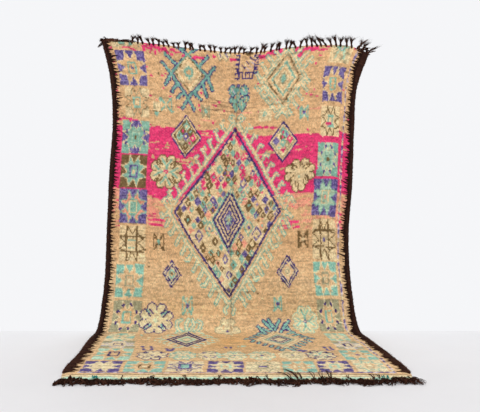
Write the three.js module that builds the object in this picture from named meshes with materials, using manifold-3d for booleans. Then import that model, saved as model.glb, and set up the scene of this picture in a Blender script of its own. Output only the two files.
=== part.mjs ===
// A hand-knotted wool pile rug, hung by its top edge, with its lower end lying out on the floor.
// X runs across the rug, Y towards its back and Z up. The floor is Z = 0.
import * as THREE from "three";
import { mergeVertices } from "three/addons/utils/BufferGeometryUtils.js";
import Module from "manifold-3d";

// The rug, in millimetres. "Down" is measured along the warp from the top edge to the front edge.
const RUG_LENGTH = 3000;
const THICKNESS = 11;
const BACK_GAP = 6;
const BEND_RADIUS = 130;
const FRONT_REACH = 1149;
const SEAM = 0.3;

// The hung part bellies forwards in two soft swells, parted by a crease down the middle.
const SWELL_DEPTH = 55;
const SWELL_AT_TOP = 0.45;
const SWELL_GROWTH = 500;
const SWELL_FADE_HEIGHT = 350;
const CREASE_SHARE = 0.035;

// Where the two side edges lie, as the weave narrows and widens on its way down.
const SIDE_EDGES = [
  { down: 0, left: -900, right: 885 },
  { down: 220, left: -848, right: 808 },
  { down: 500, left: -827, right: 787 },
  { down: 900, left: -851, right: 773 },
  { down: 1250, left: -866, right: 749 },
  { down: 1600, left: -882, right: 769 },
  { down: 1880, left: -915, right: 808 },
  { down: 2100, left: -920, right: 832 },
  { down: 2500, left: -888, right: 866 },
  { down: 2870, left: -867, right: 878 },
  { down: 3000, left: -838, right: 860 },
];

// The top edge sags between its fixings. "Across" is -1 at the left edge and 1 at the right edge.
const TOP_EDGE = [
  { across: -1, height: 1947 },
  { across: -0.7, height: 1930 },
  { across: -0.35, height: 1893 },
  { across: 0.05, height: 1867 },
  { across: 0.16, height: 1868 },
  { across: 0.36, height: 1892 },
  { across: 0.72, height: 1914 },
  { across: 0.87, height: 1906 },
  { across: 1, height: 1862 },
];

// Bands of the cloth: how many rows of faces each is cut into on its way down.
const CLOTH_COLUMNS = 26;
const CLOTH_BANDS = [
  { down: 1760, rows: 20 },
  { down: 2010, rows: 6 },
  { down: 2866, rows: 7 },
  { down: 2872, rows: 1 },
];

// The dark overcast selvedges run along both sides and stop where the flat end bands begin.
const SELVEDGE_WIDTH = 42;
const SELVEDGE_WANDER = 2.5;
const SELVEDGE_SECTION = [
  { inset: 1, lift: 0 },
  { inset: 0, lift: 0 },
  { inset: -0.1, lift: 6 },
  { inset: 0.1, lift: 12.5 },
  { inset: 0.6, lift: 13.5 },
  { inset: 1, lift: 11 },
];

// Each fringe grows from a narrow heading that is parted from the cloth.
const HEADING_DEPTH = 12;

// The knotted tassels stand up from the top heading. Height and lean change along the edge.
const TASSEL_COUNT = 48;
const TASSEL_FIRST = -0.8;
const TASSEL_LAST = 0.985;
const TASSEL_RADIUS = 5;
const TASSEL_FORK = 0.55;
const TASSEL_SPREAD = 9;
const TASSEL_UNEVEN = { place: 0.3, height: 0.14, lean: 7, spread: 0.5, tip: 0.15, depth: 4 };
const TASSEL_ROWS = [
  { across: -0.8, height: 46, lean: 0 },
  { across: -0.7, height: 38, lean: -8 },
  { across: -0.3, height: 38, lean: -6 },
  { across: 0.1, height: 40, lean: 8 },
  { across: 0.35, height: 44, lean: 12 },
  { across: 0.55, height: 50, lean: -12 },
  { across: 0.72, height: 54, lean: -30 },
  { across: 0.79, height: 66, lean: 2 },
  { across: 0.88, height: 72, lean: 14 },
  { across: 0.95, height: 52, lean: 46 },
  { across: 1, height: 34, lean: 62 },
];

// Locks that have fallen over and lie along the top edge, or hang from its left corner.
const FALLEN_TAPER = { root: 0.8, tip: 0.6, height: 0.7 };
const FALLEN_LOCKS = [
  { from: -0.99, to: -0.9, radius: 8, rise: 9, drop: 0 },
  { from: -0.91, to: -0.82, radius: 7, rise: 8, drop: 0 },
  { from: 0.06, to: 0.13, radius: 9, rise: 10, drop: 0 },
  { from: -0.985, to: -1.03, radius: 8, rise: 6, drop: 20 },
  { from: -0.99, to: -1.015, radius: 6, rise: 10, drop: -18 },
];

// The front fringe is a deep tangled row of locks, level on the floor and fanned out at both corners.
const LOCK_COUNT = 116;
const LOCK_WIDTH = 11.5;
const LOCK_LENGTH = 70;
const LOCK_CREST = 19;
const LOCK_REACH = 0.99;
const LOCK_CURL = 1.5;
const LOCK_WAVES = { sway: 14, swayEvery: 3.5, length: 5, lengthEvery: 5 };
const LOCK_UNEVEN = { sway: 4, length: 9, crest: 0.22 };
const LOCK_FAN = { from: 0.94, left: -34, right: 44 };
const LOCK_PROFILE = [
  { along: 0, width: 0.8, height: 0.6 },
  { along: 0.5, width: 1.1, height: 1 },
  { along: 1, width: 0.5, height: 0.3 },
];

// Which of the repeatable uneven numbers each size takes.
const SERIES = {
  selvedge: 1,
  place: 2,
  height: 3,
  lean: 4,
  spread: 5,
  depth: 8,
  tip: 11,
  length: 21,
  sway: 22,
  crest: 23,
};

const WOOL_PILE = new THREE.MeshStandardMaterial({ color: 0xd9b083, roughness: 0.95, metalness: 0 });
const DARK_GOAT_HAIR = new THREE.MeshStandardMaterial({ color: 0x38241d, roughness: 0.9, metalness: 0 });
const FRINGE_YARN = new THREE.MeshStandardMaterial({ color: 0x2a1c18, roughness: 0.9, metalness: 0 });

const wasm = await Module();
wasm.setup();

// A smooth curve through one column of a table, read at a place along another column.
function along(rows, place, key, value) {
  const last = rows.length - 1;
  const at = THREE.MathUtils.clamp(place, rows[0][key], rows[last][key]);
  const slope = (i) => (rows[i + 1][value] - rows[i][value]) / (rows[i + 1][key] - rows[i][key]);
  const step = (i) => rows[i + 1][key] - rows[i][key];
  const tangent = (i) => {
    if (i === 0) return slope(0);
    if (i === last) return slope(last - 1);
    return (slope(i - 1) * step(i) + slope(i) * step(i - 1)) / (step(i) + step(i - 1));
  };
  let i = 0;
  while (i < last - 1 && at >= rows[i + 1][key]) i += 1;
  const h = step(i);
  const q = (at - rows[i][key]) / h;
  return (
    (1 + 2 * q) * (1 - q) ** 2 * rows[i][value] +
    q * (1 - q) ** 2 * h * tangent(i) +
    q * q * (3 - 2 * q) * rows[i + 1][value] +
    q * q * (q - 1) * h * tangent(i + 1)
  );
}

// A repeatable number between -1 and 1 for each index of each series.
function uneven(index, series) {
  const wave = Math.sin(index * 12.9898 + series * 78.233) * 43758.5453;
  return (wave - Math.floor(wave)) * 2 - 1;
}

const edgeX = (side, down) => along(SIDE_EDGES, down, "down", side);

// The place of the rug's back, for a place across the wall and a distance down the warp.
function backOfRug(x, down) {
  const left = edgeX("left", down);
  const right = edgeX("right", down);
  const across = (2 * (x - left)) / (right - left) - 1;
  const fall = along(TOP_EDGE, across, "across", "height") - BEND_RADIUS;
  const bend = (BEND_RADIUS * Math.PI) / 2;
  const floor = FRONT_REACH - BACK_GAP - BEND_RADIUS;
  const path = (down * (fall + bend + floor)) / RUG_LENGTH;
  let out = 0;
  let z = fall + BEND_RADIUS - path;
  if (path > fall) {
    const turn = Math.min((path - fall) / BEND_RADIUS, Math.PI / 2);
    out = BEND_RADIUS * (1 - Math.cos(turn)) + Math.max(path - fall - bend, 0);
    z = BEND_RADIUS * (1 - Math.sin(turn));
  }
  const lobes = Math.sin(Math.PI * Math.min(Math.hypot(across, CREASE_SHARE), 1));
  const growth = SWELL_AT_TOP + (1 - SWELL_AT_TOP) * THREE.MathUtils.smoothstep(down, 0, SWELL_GROWTH);
  const fade = THREE.MathUtils.smoothstep(z, 0, SWELL_FADE_HEIGHT);
  return new THREE.Vector3(x, -(BACK_GAP + out + SWELL_DEPTH * lobes * growth * fade), z);
}

// A point of the draped rug at a height above its back, measured square to the cloth.
function draped(x, down, lift) {
  const probe = 1;
  const point = backOfRug(x, down);
  const sideways = backOfRug(x + probe, down).sub(backOfRug(x - probe, down));
  const downwards = backOfRug(x, down + probe).sub(backOfRug(x, down - probe));
  const outwards = downwards.cross(sideways).normalize();
  return point.addScaledVector(outwards, lift);
}

// Moves every vertex of a geometry and keeps only its positions, with shared vertices merged.
function reshaped(geometry, move) {
  const position = geometry.getAttribute("position");
  const point = new THREE.Vector3();
  for (let i = 0; i < position.count; i += 1) {
    point.fromBufferAttribute(position, i);
    const moved = move(point);
    position.setXYZ(i, moved.x, moved.y, moved.z);
  }
  geometry.deleteAttribute("normal");
  geometry.deleteAttribute("uv");
  return mergeVertices(geometry, 1e-4);
}

function fused(geometries) {
  const solids = geometries.map((geometry) => {
    const vertProperties = new Float32Array(geometry.getAttribute("position").array);
    const triVerts = new Uint32Array(geometry.index.array);
    return new wasm.Manifold(new wasm.Mesh({ numProp: 3, vertProperties, triVerts }));
  });
  const mesh = solids.reduce((whole, solid) => whole.add(solid)).getMesh();
  const geometry = new THREE.BufferGeometry();
  geometry.setAttribute("position", new THREE.BufferAttribute(mesh.vertProperties, 3));
  geometry.setIndex(new THREE.BufferAttribute(mesh.triVerts, 1));
  return geometry;
}

// Every row of the cloth's faces, from its top heading to its front heading.
function clothRows() {
  const downs = [HEADING_DEPTH + SEAM];
  for (const band of CLOTH_BANDS) {
    const start = downs[downs.length - 1];
    for (let row = 1; row <= band.rows; row += 1) {
      downs.push(start + ((band.down - start) * row) / band.rows);
    }
  }
  downs.push(RUG_LENGTH - HEADING_DEPTH - SEAM);
  return downs;
}

// The place across the rug of one of the cloth's columns of faces.
function columnX(column, down) {
  const inset = SELVEDGE_WIDTH + SEAM;
  const left = edgeX("left", down) + inset;
  const right = edgeX("right", down) - inset;
  return left + ((right - left) * column) / CLOTH_COLUMNS;
}

// The woven and knotted cloth, with its flat end bands wider than the field by the two selvedges.
function clothGeometry() {
  const downs = clothRows();
  const rows = downs.length - 1;
  const bandsBegin = CLOTH_BANDS[CLOTH_BANDS.length - 1].down;
  const box = new THREE.BoxGeometry(1, 1, 1, CLOTH_COLUMNS, rows, 1);
  return reshaped(box, (p) => {
    const down = downs[Math.round((0.5 - p.y) * rows)];
    const column = Math.round((p.x + 0.5) * CLOTH_COLUMNS);
    let x = columnX(column, down);
    if (down >= bandsBegin && column === 0) x = edgeX("left", down);
    if (down >= bandsBegin && column === CLOTH_COLUMNS) x = edgeX("right", down);
    return draped(x, down, THICKNESS * (p.z + 0.5));
  });
}

// One selvedge: a rounded band down the cloth's side, on the same rows as the cloth and a row between.
function selvedgeGeometry(side) {
  const inwards = side === "left" ? 1 : -1;
  const downs = clothRows().slice(0, -2);
  downs[0] += SEAM;
  const steps = (downs.length - 1) * 2;
  const outline = SELVEDGE_SECTION.map((corner) => new THREE.Vector2(corner.inset, corner.lift));
  const prism = new THREE.ExtrudeGeometry(new THREE.Shape(outline), { depth: 1, steps, bevelEnabled: false });
  const innerEnd = CLOTH_BANDS[CLOTH_BANDS.length - 2].down - SEAM;
  const outerEnd = CLOTH_BANDS[CLOTH_BANDS.length - 1].down - 2 * SEAM;
  const geometry = reshaped(prism, (p) => {
    const step = Math.round(p.z * steps);
    const share = THREE.MathUtils.clamp(p.x, 0, 1);
    const placeOn = (row) => {
      const down = row === downs.length - 1 ? outerEnd + (innerEnd - outerEnd) * share : downs[row];
      return draped(edgeX(side, down) + inwards * SELVEDGE_WIDTH * p.x, down, p.y);
    };
    const point = placeOn(Math.floor(step / 2)).lerp(placeOn(Math.ceil(step / 2)), 0.5);
    point.x += SELVEDGE_WANDER * (1 - share) * uneven(step, SERIES.selvedge);
    return point;
  });
  if (side === "right") turnFacesRound(geometry);
  return geometry;
}

// Turns each face of a mirrored shape round, so that it faces outwards again.
function turnFacesRound(geometry) {
  const corners = geometry.index.array;
  for (let i = 0; i < corners.length; i += 3) [corners[i], corners[i + 1]] = [corners[i + 1], corners[i]];
}

// A narrow strip of the rug's own thickness along one of its ends, on the cloth's columns.
function headingGeometry(from, to) {
  const columns = CLOTH_COLUMNS + 2;
  const box = new THREE.BoxGeometry(1, 1, 1, columns, 1, 1);
  return reshaped(box, (p) => {
    const down = from + (to - from) * (0.5 - p.y);
    const column = Math.round((p.x + 0.5) * columns);
    let x = columnX(column - 1, down);
    if (column === 0) x = edgeX("left", down);
    if (column === columns) x = edgeX("right", down);
    return draped(x, down, THICKNESS * (p.z + 0.5));
  });
}

// A lock of yarn along a path, thinner towards its tip.
function lockGeometry(path, rootRadius, tipRadius, sides) {
  const curve = new THREE.CatmullRomCurve3(path);
  const steps = path.length - 1;
  const tube = new THREE.CylinderGeometry(tipRadius, rootRadius, 1, sides, steps);
  return reshaped(tube, (p) => {
    const share = THREE.MathUtils.clamp(p.y + 0.5, 0, 1);
    const tangent = curve.getTangent(share);
    const turn = new THREE.Quaternion().setFromUnitVectors(new THREE.Vector3(0, 1, 0), tangent);
    return new THREE.Vector3(p.x, 0, p.z).applyQuaternion(turn).add(curve.getPoint(share));
  });
}

// A point over the top heading's middle layer: a share across the rug, and a rise above it.
function overHeading(across, rise) {
  const left = edgeX("left", 0);
  const right = edgeX("right", 0);
  const inside = THREE.MathUtils.clamp(across, -1, 1);
  const x = left + ((right - left) * (inside + 1)) / 2;
  const point = draped(x, HEADING_DEPTH / 2, THICKNESS / 2);
  point.x += ((right - left) * (across - inside)) / 2;
  point.z += rise;
  return point;
}

// A tassel: two locks that rise side by side and fork at their ends.
function tasselGeometries(index) {
  const by = TASSEL_UNEVEN;
  const share = (index + by.place * uneven(index, SERIES.place)) / (TASSEL_COUNT - 1);
  const across = Math.min(TASSEL_FIRST + (TASSEL_LAST - TASSEL_FIRST) * share, TASSEL_LAST);
  const growth = 1 + by.height * uneven(index, SERIES.height);
  const height = along(TASSEL_ROWS, across, "across", "height") * growth;
  const lean = along(TASSEL_ROWS, across, "across", "lean") + by.lean * uneven(index, SERIES.lean);
  return [-1, 1].map((end) => {
    const root = overHeading(across, 0);
    root.x += end * TASSEL_RADIUS;
    const fork = root.clone();
    fork.x += lean * TASSEL_FORK - (end * TASSEL_RADIUS) / 2;
    fork.z += HEADING_DEPTH / 2 + height * TASSEL_FORK;
    const spread = TASSEL_SPREAD * (1 + by.spread * uneven(index, SERIES.spread + end));
    const reach = 1 + by.tip * uneven(index, SERIES.tip + end);
    const tip = fork.clone();
    tip.x += lean * (1 - TASSEL_FORK) + end * spread;
    tip.y -= by.depth * uneven(index, SERIES.depth + end);
    tip.z += height * (1 - TASSEL_FORK) * reach;
    return lockGeometry([root, fork, tip], TASSEL_RADIUS, 0, 3);
  });
}

function fallenLockGeometry(lock) {
  const root = overHeading(lock.from, 0);
  const hump = overHeading((lock.from * 2 + lock.to) / 3, lock.rise);
  const rest = overHeading((lock.from + lock.to * 2) / 3, lock.rise - lock.drop / 2);
  const tip = overHeading(lock.to, lock.rise * FALLEN_TAPER.height - lock.drop);
  const rootRadius = lock.radius * FALLEN_TAPER.root;
  const tipRadius = lock.radius * FALLEN_TAPER.tip;
  return lockGeometry([root, hump, rest, tip], rootRadius, tipRadius, 4);
}

function topFringeGeometry() {
  const pieces = [headingGeometry(0, HEADING_DEPTH)];
  for (let i = 0; i < TASSEL_COUNT; i += 1) pieces.push(...tasselGeometries(i));
  for (const lock of FALLEN_LOCKS) pieces.push(fallenLockGeometry(lock));
  return fused(pieces);
}

// A lock that lies level on the floor: flat underneath, humped on top, thin at its tip.
function floorLockGeometry(index) {
  const across = LOCK_REACH * ((2 * index) / (LOCK_COUNT - 1) - 1);
  const down = RUG_LENGTH - HEADING_DEPTH / 2;
  const left = edgeX("left", down);
  const right = edgeX("right", down);
  const root = draped(left + ((right - left) * (across + 1)) / 2, down, 0);
  const wave = LOCK_WAVES.length * Math.sin(index / LOCK_WAVES.lengthEvery);
  const length = LOCK_LENGTH + HEADING_DEPTH / 2 + wave + LOCK_UNEVEN.length * uneven(index, SERIES.length);
  const fan = THREE.MathUtils.smoothstep(Math.abs(across), LOCK_FAN.from, 1);
  const sway =
    LOCK_WAVES.sway * Math.sin(index / LOCK_WAVES.swayEvery) + LOCK_UNEVEN.sway * uneven(index, SERIES.sway);
  const aside = sway * (1 - fan) + fan * (across < 0 ? LOCK_FAN.left : LOCK_FAN.right);
  const crest = LOCK_CREST * (1 + LOCK_UNEVEN.crest * uneven(index, SERIES.crest));
  const steps = LOCK_PROFILE.length - 1;
  const box = new THREE.BoxGeometry(1, 1, 1, 1, steps, 1);
  return reshaped(box, (p) => {
    const row = LOCK_PROFILE[Math.round((0.5 - p.y) * steps)];
    const x = root.x + aside * row.along ** LOCK_CURL + LOCK_WIDTH * row.width * p.x;
    return new THREE.Vector3(x, root.y - length * row.along, crest * row.height * (p.z + 0.5));
  });
}

function frontFringeGeometry() {
  const pieces = [headingGeometry(RUG_LENGTH - HEADING_DEPTH, RUG_LENGTH)];
  for (let i = 0; i < LOCK_COUNT; i += 1) pieces.push(floorLockGeometry(i));
  return fused(pieces);
}

function node(name, geometry, material) {
  const mesh = new THREE.Mesh(geometry, material);
  mesh.name = name;
  return mesh;
}

const rug = new THREE.Group();
rug.add(node("rug", clothGeometry(), WOOL_PILE));
rug.add(node("selvedge_left", selvedgeGeometry("left"), DARK_GOAT_HAIR));
rug.add(node("selvedge_right", selvedgeGeometry("right"), DARK_GOAT_HAIR));
rug.add(node("fringe_top", topFringeGeometry(), FRINGE_YARN));
rug.add(node("fringe_front", frontFringeGeometry(), FRINGE_YARN));

// The origin is on the floor, under the middle of the whole rug.
const reach = new THREE.Box3().setFromObject(rug);
const middle = reach.getCenter(new THREE.Vector3());
rug.position.set(-middle.x, -middle.y, -reach.min.z);
rug.updateMatrixWorld(true);

export default rug;
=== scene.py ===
"""A hand-knotted pile rug, hung by its top edge and laid out over the floor.

All places are in metres. The rug's flat chart is in millimetres: s runs across from the left side,
v runs down from the top edge.
"""

import math

import bpy
import numpy as np
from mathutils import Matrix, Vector


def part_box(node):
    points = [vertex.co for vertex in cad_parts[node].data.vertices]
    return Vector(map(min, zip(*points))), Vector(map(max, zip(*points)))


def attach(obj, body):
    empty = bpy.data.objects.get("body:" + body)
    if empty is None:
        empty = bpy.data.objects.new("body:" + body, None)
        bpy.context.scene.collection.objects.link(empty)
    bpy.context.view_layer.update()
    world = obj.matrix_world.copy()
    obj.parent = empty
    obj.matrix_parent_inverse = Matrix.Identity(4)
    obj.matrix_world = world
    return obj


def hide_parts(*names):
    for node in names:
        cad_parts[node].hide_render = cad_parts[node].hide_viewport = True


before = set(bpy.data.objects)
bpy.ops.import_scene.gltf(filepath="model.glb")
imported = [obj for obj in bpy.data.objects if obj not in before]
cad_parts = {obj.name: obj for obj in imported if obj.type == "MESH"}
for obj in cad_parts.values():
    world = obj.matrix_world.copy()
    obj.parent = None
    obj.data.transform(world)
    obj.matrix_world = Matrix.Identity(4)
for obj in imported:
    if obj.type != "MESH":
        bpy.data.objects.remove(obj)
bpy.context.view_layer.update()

# The cloth, laid flat, and the strips that carry its fringes.
WIDTH = 1.74
LENGTH = 3.0
THICKNESS = 0.011
HEADING = 0.012
# Knots across and rows of them down. The back has one face for each block of COARSE by COARSE
# knots, and each face holds the yarns of its knots as numbers of CODE_BITS bits.
KNOTS, ROWS = 248, 360
COARSE = 4
CODE_BITS = 4

# How it hangs, as in the solids: the gap behind it, the bend's radius, and how far out it lies.
BACK_GAP = 0.006
BEND = 0.13
FRONT = 1.149
# The swells beside the old fold: how deep they are, how far the fold is from sharp, the height and
# the length down the cloth over which they grow, and their share at the top edge.
SWELL = 0.055
CREASE = 0.035
SWELL_HEIGHT, SWELL_DOWN, SWELL_AT_TOP = 0.35, 0.5, 0.45
# Rows of: a length down the cloth, the left side's place and the right side's.
SIDES = np.array(
    [
        (0.00, -0.900, 0.885),
        (0.22, -0.848, 0.808),
        (0.50, -0.827, 0.787),
        (0.90, -0.851, 0.773),
        (1.25, -0.866, 0.749),
        (1.60, -0.882, 0.769),
        (1.88, -0.915, 0.808),
        (2.10, -0.920, 0.832),
        (2.50, -0.888, 0.866),
        (2.87, -0.867, 0.878),
        (3.00, -0.838, 0.860),
    ]
)
# Rows of: a share across, from -1 to 1, and the height of the top edge.
TOP_EDGE = np.array(
    [
        (-1.00, 1.947),
        (-0.70, 1.930),
        (-0.35, 1.893),
        (0.05, 1.867),
        (0.16, 1.868),
        (0.36, 1.892),
        (0.72, 1.914),
        (0.87, 1.906),
        (1.00, 1.862),
    ]
)


def smooth(table, column, x):
    """Reads a column of a short table at x, on a smooth curve through its rows."""
    at, value = table[:, 0], table[:, column]
    gap = np.diff(at)
    slope = np.diff(value) / gap
    tangent = np.empty_like(value)
    tangent[0], tangent[-1] = slope[0], slope[-1]
    tangent[1:-1] = (slope[:-1] * gap[1:] + slope[1:] * gap[:-1]) / (gap[1:] + gap[:-1])
    x = np.clip(x, at[0], at[-1])
    i = np.clip(np.searchsorted(at, x, side="right") - 1, 0, len(at) - 2)
    h = gap[i]
    q = (x - at[i]) / h
    return (
        (1 + 2 * q) * (1 - q) ** 2 * value[i]
        + q * (1 - q) ** 2 * h * tangent[i]
        + q * q * (3 - 2 * q) * value[i + 1]
        + q * q * (q - 1) * h * tangent[i + 1]
    )


def ramp(low, high, x):
    """Rises smoothly from 0 at low to 1 at high."""
    t = np.clip((x - low) / (high - low), 0, 1)
    return t * t * (3 - 2 * t)


def uneven(index, series):
    """The solids' repeatable uneven numbers, from -1 to 1."""
    value = np.sin(np.asarray(index) * 12.9898 + series * 78.233) * 43758.5453
    return (value - np.floor(value)) * 2 - 1


def side(which, down):
    """The place of the left side, 1, or of the right side, 2."""
    return smooth(SIDES, which, down)


def hang_back(x, down):
    """The back of the hung cloth, at a place across it and a length down it."""
    left, right = side(1, down), side(2, down)
    across = 2 * (x - left) / (right - left) - 1
    fall = smooth(TOP_EDGE, 1, across) - BEND
    arc = BEND * math.pi / 2
    s = down * (fall + arc + FRONT - BACK_GAP - BEND) / LENGTH
    turn = np.clip((s - fall) / BEND, 0, math.pi / 2)
    out = BEND * (1 - np.cos(turn)) + np.maximum(s - fall - arc, 0)
    height = np.where(s < fall, fall + BEND - s, BEND * (1 - np.sin(turn)))
    lobe = np.sin(math.pi * np.clip(np.hypot(across, CREASE), 0, 1))
    grown_down = SWELL_AT_TOP + (1 - SWELL_AT_TOP) * ramp(0, SWELL_DOWN, down)
    swell = SWELL * lobe * ramp(0, SWELL_HEIGHT, height) * grown_down
    return np.stack([x, -(BACK_GAP + out + swell), height], -1)


def drape(x, down, lift):
    """A point that far off the cloth's back, square to it."""
    x, down, lift = np.broadcast_arrays(*(np.asarray(a, float) for a in (x, down, lift)))
    step = 0.001
    base = hang_back(x, down)
    across = hang_back(x + step, down) - hang_back(x - step, down)
    along = hang_back(x, down - step) - hang_back(x, down + step)
    normal = np.cross(across, along)
    normal /= np.linalg.norm(normal, axis=-1, keepdims=True)
    return base + normal * lift[..., None]


# The solids' origin is under the middle of the rug's box, and the drape's is at its back.
_downs = np.linspace(HEADING, LENGTH - HEADING, 400)
_rug_low, _rug_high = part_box("rug")
_across = (side(1, _downs).min() + side(2, _downs).max()) / 2
SHIFT = np.array(
    [
        (_rug_low.x + _rug_high.x) / 2 - _across,
        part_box("selvedge_left")[1].y + BACK_GAP,
        0.0,
    ]
)


def on_cloth(s, down, lift):
    """A point on the cloth in the rug's frame, where s runs from 0 to WIDTH across it."""
    left, right = side(1, down), side(2, down)
    return drape(left + (right - left) * s / WIDTH, down, lift) + SHIFT


def on_floor(down, start=2.0):
    """Rises from 0 to 1 where the cloth comes down on the floor."""
    return ramp(start, 2.3, down)


# The camera stands where the photograph was taken from.
CAMERA = (0.024, -4.032, 0.84)
camera = bpy.data.objects.new("camera", bpy.data.cameras.new("camera"))
bpy.context.scene.collection.objects.link(camera)
camera.location = SHIFT + CAMERA
camera.rotation_euler = (math.pi / 2, 0, 0)
camera.data.lens, camera.data.sensor_width = 45, 36
bpy.context.scene.camera = camera

# The chart

# Each yarn's usual dye and its faded or deeper one, as sRGB shares, how uneven the dye is, and how
# tall its tufts stand.
YARNS = {
    "tan": ((0.89, 0.725, 0.54), (0.82, 0.64, 0.455), 0.36, 0.0),
    "pink": ((0.88, 0.20, 0.42), (0.92, 0.33, 0.49), 0.35, 0.2),
    "salmon": ((0.94, 0.60, 0.51), (0.90, 0.66, 0.52), 0.5, 0.1),
    "teal": ((0.48, 0.68, 0.60), (0.62, 0.75, 0.65), 0.5, 0.7),
    "purple": ((0.34, 0.285, 0.50), (0.54, 0.49, 0.66), 1.0, 1.0),
    "cream": ((0.92, 0.82, 0.64), (0.87, 0.74, 0.55), 0.4, 0.9),
    "brown": ((0.42, 0.33, 0.21), (0.53, 0.43, 0.29), 0.5, 0.3),
    "olive": ((0.68, 0.64, 0.50), (0.60, 0.55, 0.42), 0.5, 0.5),
    "mint": ((0.63, 0.77, 0.66), (0.75, 0.80, 0.67), 0.5, 0.6),
    "lilac": ((0.74, 0.68, 0.74), (0.83, 0.74, 0.70), 0.5, 0.3),
    "sea": ((0.42, 0.62, 0.57), (0.54, 0.70, 0.63), 0.5, 0.7),
    "indigo": ((0.22, 0.17, 0.38), (0.33, 0.27, 0.50), 0.5, 0.8),
}
USUAL, OTHER, UNEVEN, TALL = (np.array(column) for column in zip(*YARNS.values()))
TAN, PINK, SALMON, TEAL, PURPLE, CREAM, BROWN, OLIVE, MINT, LILAC, SEA, INDIGO = range(len(YARNS))

KNOT_W, KNOT_H = WIDTH * 1000 / KNOTS, LENGTH * 1000 / ROWS
_flat_v, _flat_s = np.meshgrid(
    (np.arange(ROWS) + 0.5) * KNOT_H, (np.arange(KNOTS) + 0.5) * KNOT_W, indexing="ij"
)
# No row is quite straight: the chart wanders by a few millimetres. S and V are the places that the
# motifs are drawn at, and the foot's motifs lie FOOT_SHIFT further down.
FOOT_SHIFT = 36
WANDER = 8
S = _flat_s + 2.6 * np.sin(_flat_v / 163 + 1) + 1.6 * np.sin(_flat_v / 51 + _flat_s / 400)
V = _flat_v + 3.0 * np.sin(_flat_s / 205 + 0.5) + 2.0 * np.sin(_flat_s / 83 + _flat_v / 390)
V = V - FOOT_SHIFT * ramp(1840, 2090, _flat_v)
chart = np.full(S.shape, TAN)


def grain(across, down, seed):
    """Uneven shades over the chart, from -1 to 1, in patches of about that size."""
    random = np.random.default_rng(seed)
    rows, columns = int(LENGTH * 1000 / down) + 3, int(WIDTH * 1000 / across) + 3
    lattice = random.uniform(-1, 1, (rows, columns))
    y, x = (_flat_v - KNOT_H / 2) / down, _flat_s / across
    i, j = y.astype(int), x.astype(int)
    fy, fx = ramp(0, 1, y - i), ramp(0, 1, x - j)
    top = lattice[i, j] * (1 - fx) + lattice[i, j + 1] * fx
    low = lattice[i + 1, j] * (1 - fx) + lattice[i + 1, j + 1] * fx
    return top * (1 - fy) + low * fy


def tie(mask, yarn):
    """Ties those knots in a yarn."""
    chart[mask] = yarn


def block(left, top, right, bottom):
    """The knots in an upright block."""
    return (S >= left) & (S < right) & (V >= top) & (V < bottom)


def lozenge(s, v, half_wide, half_high):
    """The knots in a lozenge round a middle."""
    return np.abs(S - s) / half_wide + np.abs(V - v) / half_high <= 1


def oval(s, v, half_wide, half_high):
    """The knots in an oval round a middle."""
    return ((S - s) / half_wide) ** 2 + ((V - v) / half_high) ** 2 <= 1


def bar(width, *points):
    """The knots within half a width of a line through the points."""
    reach = width + WANDER
    (low_s, low_v), (high_s, high_v) = np.min(points, 0) - reach, np.max(points, 0) + reach
    rows = slice(max(int(low_v / KNOT_H), 0), int(high_v / KNOT_H) + 1)
    columns = slice(max(int(low_s / KNOT_W), 0), int(high_s / KNOT_W) + 1)
    s, v = S[rows, columns], V[rows, columns]
    near = np.full(s.shape, np.inf)
    for (s0, v0), (s1, v1) in zip(points, points[1:]):
        ds, dv = s1 - s0, v1 - v0
        t = np.clip(((s - s0) * ds + (v - v0) * dv) / (ds * ds + dv * dv), 0, 1)
        near = np.minimum(near, np.hypot(s - s0 - t * ds, v - v0 - t * dv))
    found = np.zeros(S.shape, bool)
    found[rows, columns] = near <= width / 2
    return found


def grown(mask):
    """The mask and the knots next to it."""
    wider = mask.copy()
    wider[1:] |= mask[:-1]
    wider[:-1] |= mask[1:]
    wider[:, 1:] |= mask[:, :-1]
    wider[:, :-1] |= mask[:, 1:]
    return wider


def either(masks):
    """The knots in any of the masks."""
    return np.logical_or.reduce(list(masks))


# Every other pair of knots, for dotted outlines.
DOTS = np.indices(S.shape).sum(0) // 2 % 2 == 0


def edged(mask, yarn, edge, where=True):
    """A figure with an outline of another yarn round it, which may be kept to some knots."""
    tie(grown(mask) & where, edge)
    tie(mask, yarn)


def strokes(yarn, *lines):
    """Ties lines in a yarn, each given by its width and its points."""
    for width, *points in lines:
        tie(bar(width, *points), yarn)


def rings(s, v, wide, high, slope, *steps):
    """Lozenges one inside another, each given by its inset across and its yarn.

    Up and down, the inset is slope times as large.
    """
    for inset, yarn in steps:
        tie(lozenge(s, v, wide - inset, high - inset * slope), yarn)


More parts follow.
